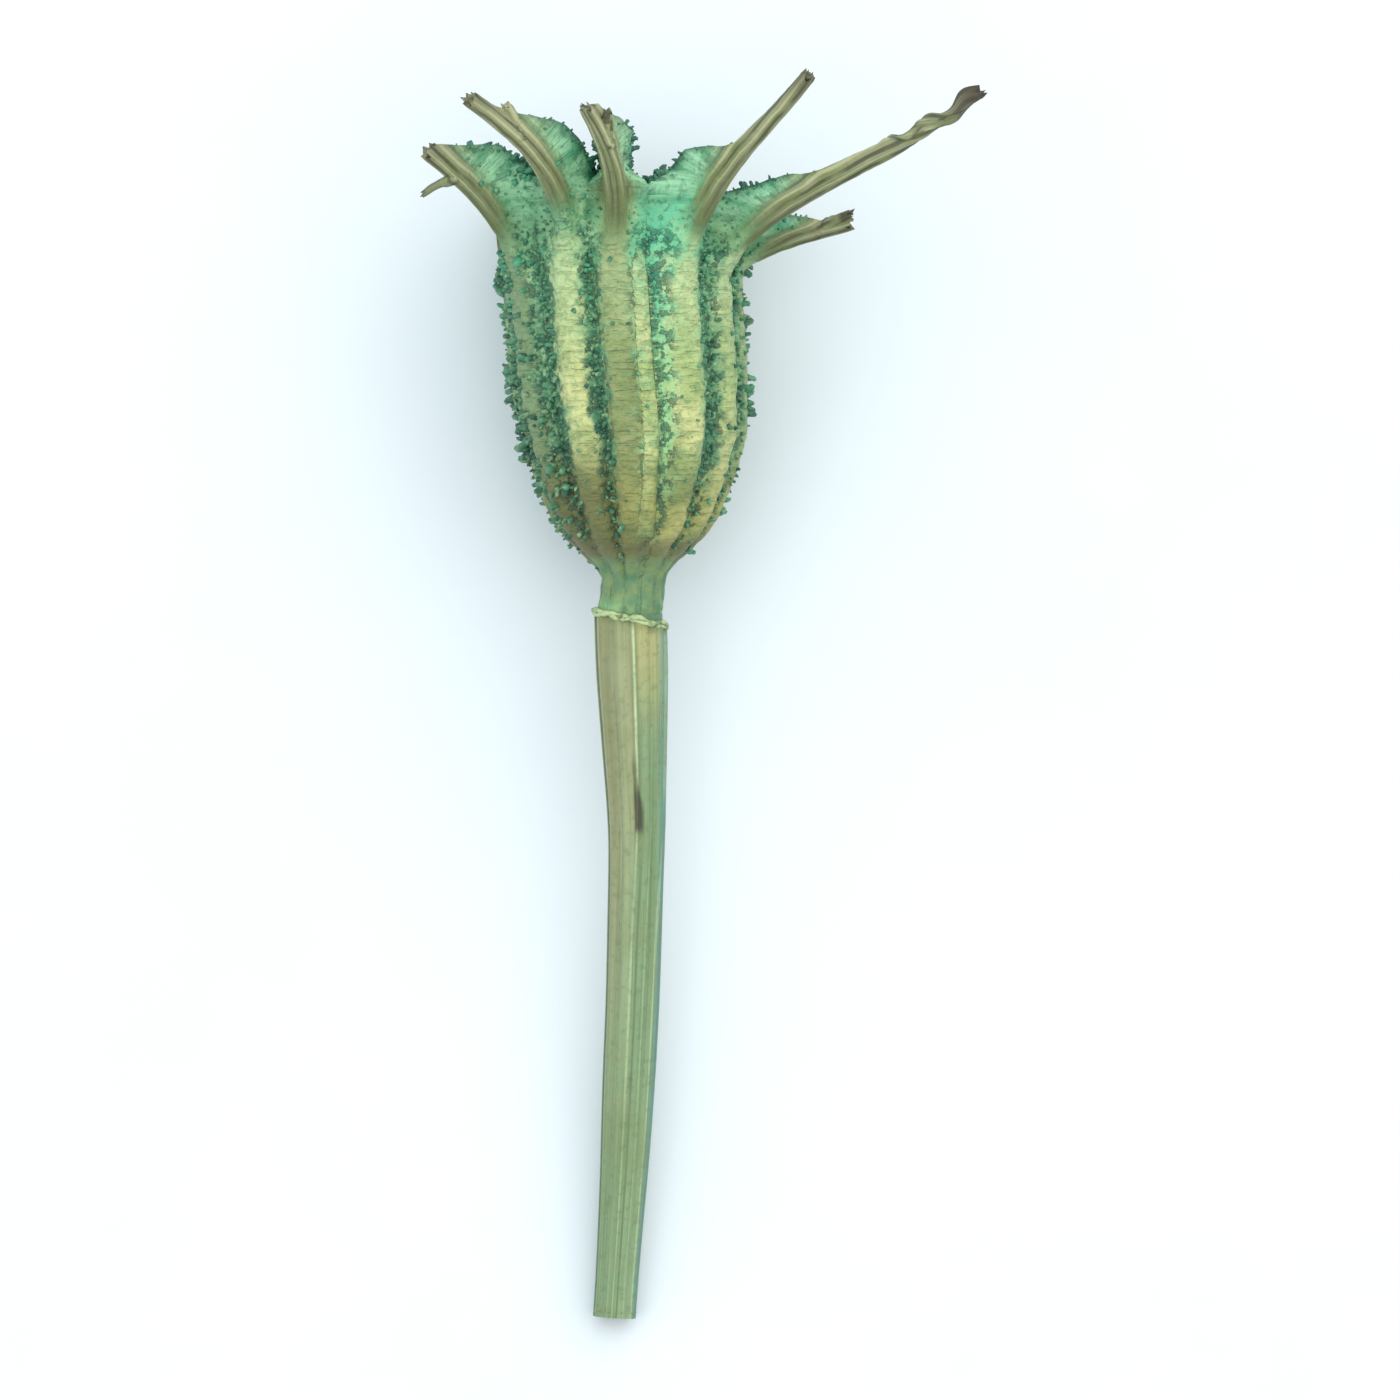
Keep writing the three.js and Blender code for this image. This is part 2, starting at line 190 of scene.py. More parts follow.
class Signal:
    """What a node's output carries. Signals can be reckoned with by +, -, *, / and abs."""

    def __init__(self, graph: "Graph", socket: bpy.types.NodeSocket) -> None:
        """Wrap an output.

        Args:
            graph: The graph that the output is in.
            socket: The output.
        """
        self.graph = graph
        self.socket = socket

    def __add__(self, other: object) -> "Signal":
        """Add a signal or a number."""
        return self.graph.math("ADD", self, other)

    def __sub__(self, other: object) -> "Signal":
        """Take a signal or a number away."""
        return self.graph.math("SUBTRACT", self, other)

    def __rsub__(self, other: object) -> "Signal":
        """Take this signal away from a number."""
        return self.graph.math("SUBTRACT", other, self)

    def __mul__(self, other: object) -> "Signal":
        """Multiply by a signal or a number."""
        return self.graph.math("MULTIPLY", self, other)

    def __truediv__(self, other: object) -> "Signal":
        """Divide by a signal or a number."""
        return self.graph.math("DIVIDE", self, other)

    def __abs__(self) -> "Signal":
        """Return the signal without its sign."""
        return self.graph.math("ABSOLUTE", self)


class Graph:
    """A node tree under construction, with short ways to add and join nodes."""

    def __init__(self, tree: bpy.types.NodeTree) -> None:
        """Start on a tree.

        Args:
            tree: The shader or geometry tree that nodes go into.
        """
        self.tree = tree

    def feed(self, socket: bpy.types.NodeSocket, value: object) -> None:
        """Join a signal or an output to an input, or give the input its own value.

        Args:
            socket: The input.
            value: A signal, an output, a tint, a number or another plain value.
        """
        if isinstance(value, Signal):
            value = value.socket
        if isinstance(value, bpy.types.NodeSocket):
            self.tree.links.new(value, socket)
        else:
            socket.default_value = value.linear if isinstance(value, Tint) else value

    def node(self, kind: str, inputs: dict | None = None, **settings: object) -> bpy.types.Node:
        """Add a node.

        Args:
            kind: The node's type name.
            inputs: What each input is fed, by the input's name or number.
            **settings: Properties of the node itself.

        Returns:
            The new node.
        """
        node = self.tree.nodes.new(kind)
        for name, value in settings.items():
            setattr(node, name, value)
        for key, value in (inputs or {}).items():
            self.feed(node.inputs[key], value)
        return node

    def math(self, operation: str, *values: object) -> Signal:
        """Add a Math node.

        Args:
            operation: The operation's name.
            *values: Numbers or signals, in order.

        Returns:
            The result.
        """
        node = self.node("ShaderNodeMath", dict(enumerate(values)), operation=operation)
        return Signal(self, node.outputs[0])

    def fade(self, value: object, low: object, high: object) -> Signal:
        """Ease from 0 to 1 as a value goes from low to high.

        Args:
            value: The signal to read.
            low: Where the result is 0.
            high: Where the result is 1.

        Returns:
            The result.
        """
        inputs = {0: value, 1: low, 2: high}
        node = self.node("ShaderNodeMapRange", inputs, interpolation_type="SMOOTHSTEP")
        return Signal(self, node.outputs[0])

    def mix(self, share: object, first: object, second: object) -> Signal:
        """Mix two colours.

        Args:
            share: How much of the second colour, 0 to 1.
            first: A signal or tint.
            second: A signal or tint.

        Returns:
            The mixed colour.
        """
        node = self.node("ShaderNodeMix", {0: share, 6: first, 7: second}, data_type="RGBA")
        return Signal(self, node.outputs[2])

    def coats(self, colour: object, *layers: tuple[object, object]) -> Signal:
        """Lay colours over a colour, one after another.

        Args:
            colour: The signal or tint underneath.
            *layers: Each layer's share and its signal or tint.

        Returns:
            The last colour.
        """
        for share, layer in layers:
            colour = self.mix(share, colour, layer)
        return colour

    def attribute(self, name: str) -> Signal:
        """Read a number that is stored on a dressed mesh's points."""
        return Signal(self, self.node("ShaderNodeAttribute", attribute_name=name).outputs["Fac"])

    def attributes(self, *names: str) -> list[Signal]:
        """Read several such numbers."""
        return [self.attribute(name) for name in names]

    def stored(self, name: str) -> Signal:
        """Read a number that is stored on the points that a geometry tree works on."""
        node = self.node("GeometryNodeInputNamedAttribute", {"Name": name}, data_type="FLOAT")
        return Signal(self, node.outputs["Attribute"])

    def hand_out(self, geometry: bpy.types.NodeSocket, material: bpy.types.Material) -> None:
        """End a geometry tree: realise its geometry, dress it and put it out.

        Args:
            geometry: The geometry's output.
            material: What it is dressed with.
        """
        real = self.node("GeometryNodeRealizeInstances", {"Geometry": geometry})
        dressed = self.node("GeometryNodeSetMaterial", {"Geometry": real.outputs[0], "Material": material})
        self.node("NodeGroupOutput", {0: dressed.outputs[0]})


def new_tree(name: str, kind: str, inputs: dict[str, str], output: tuple[str, str]) -> tuple:
    """Start a node tree with named sockets.

    Args:
        name: The tree's name.
        kind: "Shader" or "Geometry".
        inputs: Each input's kind, by its name.
        output: The output's name and kind.

    Returns:
        The tree, its graph and its input sockets.
    """
    tree = bpy.data.node_groups.new(name, "ShaderNodeTree" if kind == "Shader" else "GeometryNodeTree")
    for label, socket in inputs.items():
        tree.interface.new_socket(label, in_out="INPUT", socket_type=f"NodeSocket{socket}")
    tree.interface.new_socket(output[0], in_out="OUTPUT", socket_type=f"NodeSocket{output[1]}")
    graph = Graph(tree)
    return tree, graph, graph.node("NodeGroupInput").outputs


def run_tree(piece: bpy.types.Object, tree: bpy.types.NodeTree, values: dict[str, float]) -> None:
    """Put a piece through a geometry tree, and leave the result as its plain mesh.

    Args:
        piece: The object.
        tree: The tree.
        values: The tree's inputs by name.
    """
    modifier = piece.modifiers.new(tree.name, "NODES")
    modifier.node_group = tree
    named = {item.name: item.identifier for item in tree.interface.items_tree if item.in_out == "INPUT"}
    for name, value in values.items():
        modifier[named[name]] = value
    settle(piece)


def set_aside(name: str, pieces: list[bpy.types.Object]) -> bpy.types.Collection:
    """Move pieces out of the scene's own collection into a new one of theirs.

    Args:
        name: The new collection's name.
        pieces: The objects.

    Returns:
        The new collection.
    """
    aside = bpy.data.collections.new(name)
    bpy.context.scene.collection.children.link(aside)
    for piece in pieces:
        aside.objects.link(piece)
        bpy.context.scene.collection.objects.unlink(piece)
    return aside


def discard(aside: bpy.types.Collection) -> None:
    """Remove a collection with everything in it."""
    for piece in list(aside.objects):
        bpy.data.objects.remove(piece)
    bpy.data.collections.remove(aside)


# The pod's own frame and form


@dataclass(frozen=True)
class Lie:
    """Where the pod lies. Its own frame has Y up its axis from the scar, and Z to the side that faces up."""

    tilt: float = radians(7.6)
    scar: tuple[float, float, float] = (-3.413, 4.325, 5.2)

    def matrix(self) -> Matrix:
        """Return the matrix from the pod's frame, in millimetres, to the shared frame, in metres."""
        turned = Matrix.Rotation(self.tilt, 4, "X")
        return Matrix.Scale(MM, 4) @ Matrix.Translation(self.scar) @ turned

    def place(self, points: np.ndarray) -> np.ndarray:
        """Move points from the pod's frame to the shared one.

        Args:
            points: One row of x, y and z in millimetres for each point.

        Returns:
            The same points in metres.
        """
        matrix = np.array(self.matrix())
        return points @ matrix[:3, :3].T + matrix[:3, 3]

    def unplace(self, point: Vector) -> Vector:
        """Move one point from the shared frame, in metres, back to the pod's, in millimetres."""
        return self.matrix().inverted() @ point


@dataclass(frozen=True)
class Carpel:
    """One of the grown-together carpels, in degrees and millimetres.

    It has its keel's azimuth, its horn's tip (azimuth, radius, height), how high its lip stands, how far
    up it comes free, how the horn leans, turns and bows, its dye and stains, and a split-off strand's end.
    """

    keel: float
    tip: tuple[float, float, float]
    lip: float
    free: float
    lean: float
    turn: float = 0.0
    bow: float = 0.15
    pace: float = 1.5
    swing: float = 0.0
    start: float = 1.35
    knots: float = 0.0
    tip_thickness: float = 0.62
    dye: float = 0.4
    brown: float = 0.0
    burnt: float = 0.3
    shade: float = 0.3
    foot: float = 0.1
    split: tuple[float, float, float] | None = None


@dataclass(frozen=True)
class Section:
    """One cut through a carpel: its keel point, its ventral edge and where it stands."""

    keel: np.ndarray
    edge: np.ndarray
    azimuth: float
    along: float
    strayed: float = 0.0
    stage: float = 0.0
    share: float = 0.0
    lip_end: float = 0.0
    twist: float = 0.0


CARPELS = (
    Carpel(
        -62, (-65, 10.3, 21.6), 0.95, 5.4, 36,
        bow=0.6, tip_thickness=0.8, dye=0.9, shade=0.1, split=(-70, 9.9, 19.8),
    ),
    Carpel(
        -27, (-40, 11.3, 23.9), 0.9, 6.6, 44,
        swing=4, tip_thickness=0.8, dye=0.1, foot=0.3, split=(-33, 9.8, 23.9),
    ),
    Carpel(
        -5, (-11, 8.7, 23.6), 0.98, 6.4, 62,
        swing=5, tip_thickness=0.7, dye=0.2, brown=0.8, split=(-4, 8.1, 23.7),
    ),
    Carpel(
        33, (46.7, 12.5, 25.1), 0.8, 5.8, 50,
        bow=0.3, pace=0.7, start=1.1, tip_thickness=0.6, dye=0.1, burnt=0.6, shade=0.9,
    ),
    Carpel(62, (69, 18.3, 24.4), 0.65, 4.9, 40, 200, 1.9, 0.7, knots=0.3, dye=0.3, burnt=1.0),
    Carpel(88, (88, 11.05, 18.3), 0.5, 3.4, 14, bow=0.6, dye=0.6, split=(85, 11.0, 19.1)),
    Carpel(120, (114, 7.9, 19.8), 0.6, 3.4, 40, dye=0.2),
    Carpel(153, (150, 9.4, 19.6), 0.7, 3.8, 24, dye=0.5),
    Carpel(188, (187, 7.7, 19.9), 0.6, 3.4, 40, dye=0.2, brown=0.4),
    Carpel(222, (213, 9.7, 19.6), 0.7, 3.8, 24, dye=0.4),
    Carpel(260, (250, 7.2, 20.2), 0.6, 3.4, 40, dye=0.7),
)


@dataclass
class PodForm:
    """The rule that the capsule's shape follows. Millimetres, in the pod's own frame."""

    keel_profile: tuple[tuple[float, float], ...] = (
        (1.55, 0.05), (1.5, 1.1), (1.65, 2.1), (2.45, 2.95), (3.3, 3.75), (4.0, 4.85), (4.55, 6.1),
        (5.05, 7.6), (5.45, 9.5), (5.65, 11.7), (5.66, 14.0), (5.75, 16.2),
    )
    rib_height: float = 0.75
    crown_height: float = 18.6
    valley_height: float = 20.2
    valley_slope: float = 2.5
    valley_radius: float = 5.5
    past_axis: float = 0.3
    vein_azimuth: float = 8.0
    vein_sink: float = 0.75
    vein_half_width: float = 0.6
    vein_bottom: float = 3.75
    vein_top: float = 18.4
    overlap: float = 1.03
    lip_height: float = 2.8
    lip_thickness: float = 0.3
    lip_start: float = 0.22
    lip_crest: float = 0.9
    lip_fall: float = 0.8
    strap_depth: float = 0.35
    slit_floor: float = 0.8
    style_thickness: float = 1.2
    style_half_width: float = 0.6
    tip_half_width: float = 0.34
    row_pitch: float = 0.2
    sway: tuple[tuple[float, float], ...] = (
        (0.0, 0.0), (2.5, 0.2), (8.5, 0.2), (11.8, -0.13), (14.1, -0.27), (16.4, -0.45), (20.0, -0.45),
    )

    @property
    def shoulder(self) -> np.ndarray:
        """Return the keel's radius and height where the horn begins."""
        return np.array(self.keel_profile[-1])

    def keel_radius(self, height: float) -> float:
        """Return the keel's radius at a height up the barrel, on a smooth curve through the profile.

        Args:
            height: The height above the scar.

        Returns:
            The radius.
        """
        rows = np.array(self.keel_profile)
        slopes = np.gradient(rows[:, 0], rows[:, 1])
        at = int(np.clip(np.searchsorted(rows[:, 1], height) - 1, 0, len(rows) - 2))
        span = rows[at + 1, 1] - rows[at, 1]
        t = (height - rows[at, 1]) / span
        first = (2 * t**3 - 3 * t**2 + 1) * rows[at, 0] + (t**3 - 2 * t**2 + t) * span * slopes[at]
        return first + (3 * t**2 - 2 * t**3) * rows[at + 1, 0] + (t**3 - t**2) * span * slopes[at + 1]

    def leaned(self, points: np.ndarray) -> np.ndarray:
        """Shift points of an upright pod sideways, to where the photographed pod leans.

        Args:
            points: One row of x, y and z for each point.

        Returns:
            The shifted points.
        """
        rows = np.array(self.sway)
        moved = points.copy()
        moved[:, 0] += np.interp(points[:, 1], rows[:, 0], rows[:, 1])
        return moved

    def rib(self, height: np.ndarray | float) -> np.ndarray | float:
        """Return how far a rib stands out from the groove beside it at a height."""
        return self.rib_height * (0.15 + 0.85 * smooth(height, 0.5, 6))

    def inside_web(self, radius: np.ndarray, height: np.ndarray) -> np.ndarray:
        """Tell how far points lie inside the web that joins the horns' feet, and negative outside it.

        Args:
            radius: The points' distances from the axis.
            height: Their heights.

        Returns:
            Millimetres inside.
        """
        flare = smooth(height, self.shoulder[1], self.valley_height)
        wall = lerp(self.shoulder[0] - self.rib_height, self.valley_radius, flare)
        rim = lerp(self.crown_height, self.valley_height, smooth(radius, 0, self.valley_radius))
        return np.minimum(wall - radius, (rim - height) / self.valley_slope)

    def horn_curve(self, carpel: Carpel) -> np.ndarray:
        """Return points 0.02 mm apart or so along a horn's keel.

        Args:
            carpel: The horn's carpel.

        Returns:
            The radius and height of each point.
        """
        _, radius, height = carpel.tip
        tip = np.array([radius, height])
        slope = radians(carpel.lean)
        reach = np.linalg.norm(tip - self.shoulder) * 0.38
        first = np.array([self.shoulder[0] + carpel.bow, lerp(self.shoulder[1], height, 0.4)])
        second = tip - np.array([cos(slope), sin(slope)]) * reach
        t = np.linspace(0, 1, 800)[:, None]
        s = 1 - t
        return s**3 * self.shoulder + 3 * s**2 * t * first + 3 * s * t**2 * second + t**3 * tip

    def sections(self, carpel: Carpel) -> list[Section]:
        """Cut a carpel into sections from the neck to the horn's tip.

        Args:
            carpel: The carpel.

        Returns:
            The sections, row_pitch apart.
        """
        azimuth = radians(carpel.keel)
        rows = []
        top = self.shoulder[1]
        for height in np.arange(0.05, top, self.row_pitch):
            keel = np.array([self.keel_radius(height), height])
            rows.append(Section(keel, np.array([-self.past_axis, height]), azimuth, height - top))
        curve = self.horn_curve(carpel)
        run = np.concatenate([[0], np.cumsum(np.linalg.norm(np.diff(curve, axis=0), axis=1))])
        length = run[-1]
        tangents = np.gradient(curve, run, axis=0)
        for along in np.linspace(self.row_pitch, length, round(length / self.row_pitch)):
            share = along / length
            stage = along / carpel.free
            keel = np.array([np.interp(along, run, curve[:, axis]) for axis in (0, 1)])
            tangent = np.array([np.interp(along, run, tangents[:, axis]) for axis in (0, 1)])
            lip_end = float(smooth(stage, self.lip_fall, carpel.start))
            wave = 0.05 * sin(along * 2.7 + carpel.keel) + 0.02 * sin(along * 9.3 + carpel.keel)
            knot = 1 + carpel.knots * cos(2 * pi * (share - 0.8) / 0.15) * float(smooth(share, 0.62, 0.7))
            lip = self.lip_height * carpel.lip * (1 + wave * (1 - lip_end))
            lip = lerp(lip, lerp(self.style_thickness, carpel.tip_thickness, share) * knot, lip_end)
            axis_height = lerp(keel[1], self.crown_height, smooth(stage, 0, 0.4))
            on_axis = np.array([-self.past_axis, axis_height])
            on_lip = np.array([-tangent[1], tangent[0]]) * lip + keel
            edge = on_axis + (on_lip - on_axis) * smooth(stage, self.lip_start, self.lip_crest)
            aside = carpel.swing * sin(pi * share)
            turned = radians(lerp(carpel.keel, carpel.tip[0], share**carpel.pace) + aside)
            twist = radians(carpel.turn) * float(smooth(share, 0.6, 1))
            rows.append(Section(keel, edge, turned, along, turned - azimuth, stage, share, lip_end, twist))
        return rows

    def half_width(self, section: Section, depth: np.ndarray, reach: float, angle: float) -> np.ndarray:
        """Return a section's half-width at depths from its keel towards its ventral edge.

        Args:
            section: The section.
            depth: Distances from the keel.
            reach: The whole distance from keel to edge.
            angle: Half the angle to the next carpel on this side.

        Returns:
            The half-widths.
        """
        at = section.keel[None, :] + (section.edge - section.keel)[None, :] * (depth / reach)[:, None]
        flank = np.maximum(at[:, 0], 0) * tan(angle) * self.overlap + 0.05
        rib = self.rib(section.keel[1])
        lobe = flank * (np.arccos(1 - 2 * np.clip(depth / rib, 0, 1)) / pi) ** 0.8
        style = lerp(self.style_half_width, self.tip_half_width, section.share)
        crest = min(1.0, 0.2 + 0.15 * max(section.edge[0], 0))
        crest = lerp(crest, style * 0.8, section.lip_end)
        strap = style * np.clip(depth / self.strap_depth, 0, 1) ** 0.5
        free = np.minimum(strap, style) + (crest - style) * smooth(depth / reach, 0.2, 1.0)
        margin = lerp(rib, 0.35, smooth(section.stage, 0, 0.5))
        fused = smooth(self.inside_web(at[:, 0], at[:, 1]), -margin, 0)
        horn = free + (flank - free) * fused
        return lobe + (horn - lobe) * smooth(section.stage, 0, 0.35)


@dataclass
class Capsule:
    """The capsule: carpels lofted by the form's rule, joined and roughened, with where its warts grow stored
    on it.
    """

    form: PodForm = field(default_factory=PodForm)
    lie: Lie = field(default_factory=Lie)
    wall_steps: int = 13
    rim_steps: int = 3
    fresh_sides: tuple[tuple[float, float], ...] = ((22, 1.0), (100, 0.5), (-150, 0.7), (165, 0.4))

    def half_angle(self, order: int, side: int) -> float:
        """Return half the angle, in radians, from a carpel's keel to its neighbour's on one side."""
        beside = CARPELS[(order + side) % len(CARPELS)]
        return radians(((beside.keel - CARPELS[order].keel) * side) % 360) / 2

    def loop(
        self, section: Section, angles: dict[int, float], phase: float
    ) -> tuple[np.ndarray, np.ndarray]:
        """Return the points round one section, with what each one is.

        Args:
            section: The section.
            angles: Half the angle to the next carpel, by side.
            phase: A number that sets this carpel's waves apart.

        Returns:
            The points, and for each its depth, its signed half-width, its depth share and whether it is
            inside the lips.
        """
        form = self.form
        reach = float(np.linalg.norm(section.keel - section.edge))
        rib = form.rib(section.keel[1])
        opened = float(smooth(section.stage, 0.5, form.lip_crest)) * (1 - section.lip_end)
        slit = max(0.08, (reach - form.slit_floor) * opened)
        freed = float(smooth(section.stage, 0.2, 0.8))
        steps = np.linspace(0, 1, self.wall_steps)
        body = np.concatenate([rib * steps[1:10] ** 1.7 / steps[9] ** 1.7, reach * np.array([0.4, 0.7, 1])])
        strap = form.strap_depth * (np.arange(1, 6) / 5) ** 2
        horn = np.concatenate([strap, form.strap_depth + (reach - form.strap_depth) * np.arange(1, 8) / 7])
        depths = body + (horn - body) * freed
        sides = {}
        for side in (1, -1):
            angle = angles[side] - side * section.strayed
            width = form.half_width(section, depths, reach, angle)
            wave = 0.13 * sin(section.along * 3.1 + phase + side) + 0.07 * sin(section.along * 7.7 + phase)
            flare = wave * opened * smooth(depths / reach, 0.55, 1.0)
            width = width + flare * (1 - section.lip_end)
            inner = max(0.04, (width[-1] - form.lip_thickness) * opened)
            rim = [(reach + 0.05 * opened, (width[-1] + inner) / 2, 1.0, 0.0)]
            for step in range(self.rim_steps):
                share = (step + 0.3) / self.rim_steps
                depth = lerp(reach - 0.03, reach - slit, share)
                rim.append((depth, inner * (1 - share**1.5), 1 - share, 1.0))
            wall = [(d, w, d / reach, 0.0) for d, w in zip(depths, width)]
            sides[side] = wall + rim
        flat = [(0.0, 0.0, 0.0, 0.0)]
        flat += sides[1]
        flat += [(reach - slit, 0.0, 0.5, 1.0)]
        flat += [(d, -w, s, i) for d, w, s, i in reversed(sides[-1])]
        table = np.array(flat)
        turned_x = cos(section.twist) * table[:, 1] - sin(section.twist) * (table[:, 0] - reach / 2)
        turned_y = sin(section.twist) * table[:, 1] + cos(section.twist) * (table[:, 0] - reach / 2)
        shares = (0.5 + turned_y / reach)[:, None]
        at = section.keel + (section.edge - section.keel) * shares
        across, towards = sin(section.azimuth), cos(section.azimuth)
        x = at[:, 0] * across + turned_x * towards
        z = at[:, 0] * towards - turned_x * across
        return np.stack([x, at[:, 1], z], axis=1), table

    def loft(self, order: int) -> tuple[bpy.types.Object, np.ndarray, np.ndarray]:
        """Build one carpel as a closed solid.

        Args:
            order: The carpel's place in the list.

        Returns:
            The object, its points in the pod's frame, and their marks: depth, width, depth share, inner,
            along, stage, horn share, lip end, dye, brown, burnt, shade and foot.
        """
        carpel = CARPELS[order]
        angles = {side: self.half_angle(order, side) for side in (1, -1)}
        points, marks = [], []
        rows = self.form.sections(carpel)
        for section in rows:
            loop, table = self.loop(section, angles, carpel.keel)
            points.append(self.form.leaned(loop))
            size = len(loop)
            own = [section.along, section.stage, section.share, section.lip_end]
            own += [carpel.dye, carpel.brown, carpel.burnt, carpel.shade, carpel.foot]
            marks.append(np.hstack([table, np.tile(own, (size, 1))]))
        rough = np.random.default_rng(order)
        away = points[-1].mean(axis=0) - points[-2].mean(axis=0)
        away /= np.linalg.norm(away)
        points[-1] = points[-1] + away * rough.uniform(-0.35, 0.05, (size, 1))
        piece, every = lofted(f"carpel_{order}", points, 0.1, self.lie)
        return piece, every, np.vstack([*marks, marks[0][:1], marks[-1][:1]])

    def strand(self, order: int) -> bpy.types.Object:
        """Build the strand that a broken horn's end has split off.

        Args:
            order: The carpel's place in the list.

        Returns:
            The strand as a closed solid.
        """
        carpel = CARPELS[order]
        rows = self.form.sections(carpel)
        root = rows[round(len(rows) - 0.3 * (len(rows) - self.form.shoulder[1] / self.form.row_pitch))]

        def spot(azimuth: float, radius: float, height: float) -> np.ndarray:
            """Return the leaned point at an azimuth, a radius and a height."""
            return self.form.leaned(np.array([[radius * sin(azimuth), height, radius * cos(azimuth)]]))[0]

        start = spot(root.azimuth, root.keel[0] - 0.25, root.keel[1] + 0.25)
        end = spot(radians(carpel.split[0]), carpel.split[1], carpel.split[2])
        along = (end - start) / np.linalg.norm(end - start)
        sideways = np.array([cos(root.azimuth), 0, -sin(root.azimuth)])
        over = np.cross(along, sideways)
        over /= np.linalg.norm(over)
        sideways = np.cross(over, along)
        rough = np.random.default_rng(100 + order)
        count, around = 12, 10
        loops = []
        for row in range(count + 1):
            share = row / count
            bow = 0.12 * sin(pi * share) * over
            width = lerp(0.42, 0.24, share) * (1 + 0.1 * sin(9 * share + order))
            thick = lerp(0.3, 0.16, share)
            turns = np.linspace(0, 2 * pi, around, endpoint=False)
            ring = np.outer(np.cos(turns) * width, sideways) + np.outer(np.sin(turns) * thick, over)
            ragged = rough.uniform(-0.3, 0.1, (around, 1)) * along if row == count else 0
            loops.append(start + (end - start) * share + bow + ring + ragged)
        return lofted(f"strand_{order}", loops, 0.1, self.lie)[0]

    def vein(self) -> tuple[bpy.types.Object, np.ndarray, np.ndarray]:
        """Build the low vein that runs up the barrel between two keels.

        Returns:
            The object, its points in the pod's frame and their marks.
        """
        form = self.form
        azimuth = radians(form.vein_azimuth)
        across = np.array([cos(azimuth), 0, -sin(azimuth)])
        outward = np.array([sin(azimuth), 0, cos(azimuth)])
        turns = np.linspace(0, 2 * pi, 24, endpoint=False)
        loops, marks = [], []
        top = form.shoulder[1]
        for height in np.arange(form.vein_bottom, form.vein_top, form.row_pitch):
            faded = smooth(height, top, form.vein_top)
            keel = lerp(form.keel_radius(min(height, top)), form.valley_radius, faded)
            sunk = keel - form.vein_sink * form.rib(height) / form.rib_height
            ring = np.outer(np.sin(turns), across) + np.outer(np.cos(turns), outward)
            middle = outward * sunk + np.array([0, height, 0])
            loops.append(form.leaned(middle + ring * form.vein_half_width))
            for turn in turns:
                width = sin(turn) * form.vein_half_width
                marks.append([0.1, width, 0.1, 0, height - top, 0, 0, 0, 0.15, 0, 0, 0, 0])
        piece, every = lofted("vein", loops, 0.0, self.lie)
        return piece, every, np.array([*marks, marks[0], marks[-1]])

    def join(self, pieces: list[bpy.types.Object]) -> bpy.types.Object:
        """Join closed solids into one.

        Args:
            pieces: The solids, of which the first becomes the whole.

        Returns:
            The joined object.
        """
        body = pieces[0]
        others = set_aside("to_join", pieces[1:])
        union = body.modifiers.new("union", "BOOLEAN")
        union.operation = "UNION"
        union.operand_type = "COLLECTION"
        union.collection = others
        union.solver = "MANIFOLD"
        settle(body)
        discard(others)
        return body

    def mark(self, body: bpy.types.Object, points: np.ndarray, marks: np.ndarray) -> dict[str, np.ndarray]:
        """Give every point of the joined body the marks of the nearest lofted point, and store its zones.

        Args:
            body: The joined body.
            points: The lofted points in the pod's frame.
            marks: Their marks.

        Returns:
            Each zone's strength, or the measure that a finish reads, by its name.
        """
        tree = kdtree.KDTree(len(points))
        for i, point in enumerate(self.lie.place(points)):
            tree.insert(point, i)
        tree.balance()
        near = [tree.find(vertex.co)[1] for vertex in body.data.vertices]
        depth, width, share, inner, along, stage, tip_share, lip_end = marks[near].T[:8]
        dye, brown, burnt, shade, foot = marks[near].T[8:]
        rib = self.form.rib_height
        round_share = np.arccos(1 - 2 * np.clip(depth / rib, 0, 1)) / pi
        lobe_share = 1 - smooth(stage, 0.0, 0.3)
        reach = 0.32 + 0.25 * smooth(stage, 0.3, 0.9)
        keel = smooth(np.abs(width), reach + 0.3, reach) * smooth(depth, 1.15, 0.8)
        strap = smooth(stage, foot, foot + 0.35) * keel * (1 - lip_end) + lip_end
        strap = np.clip(strap, 0, 1) * (1 - inner * (1 - lip_end))
        lip = smooth(stage, 0.1, 0.5) * (1 - lip_end) * (1 - keel)
        spots = np.array([self.lie.unplace(vertex.co) for vertex in body.data.vertices])
        radius = np.hypot(spots[:, 0] - self.form.sway[-1][1], spots[:, 2])
        azimuth = np.degrees(np.arctan2(spots[:, 0], spots[:, 2]))
        sides = [smooth(np.abs(azimuth - at), 26, 12) * most for at, most in self.fresh_sides]
        fresh = np.max(sides, axis=0)
        # Painted shade: the barrel's lower left, on the side that faces up, is darkened in the colour.
        soiled = smooth(spots[:, 0], 0.4, -1.6) * smooth(along, -7.0, -10.8) * smooth(spots[:, 2], -1, 1)
        crown = smooth(stage, 0.05, 0.3) * smooth(radius, 5.6, 4.6) * (1 - lip_end)
        zones = {
            "groove": round_share * (1 - smooth(stage, 0.1, 0.5)),
            "strap": strap,
            "lip": lip * (1 - inner),
            "inner": inner * lip * (1 - crown),
            "edge": lip * smooth(share, 0.84, 0.96),
            "crown": crown,
            "along": along,
            "across": width,
            "around": np.abs(width) + depth * (1 - lobe_share),
            "depth_share": share,
            "tip": smooth(tip_share, 0.8, 1.0) * lip_end,
            "dye": dye,
            "brown": brown,
            "burnt": burnt,
            "shade": shade,
            "fresh": fresh,
            "freed": smooth(stage, 0.2, 1.3),
            "soiled": soiled,
        }
        flank = lerp(0.08 + 0.5 * smooth(dye, 0.4, 0.7), 1.0, smooth(round_share, 0.4, 0.6))
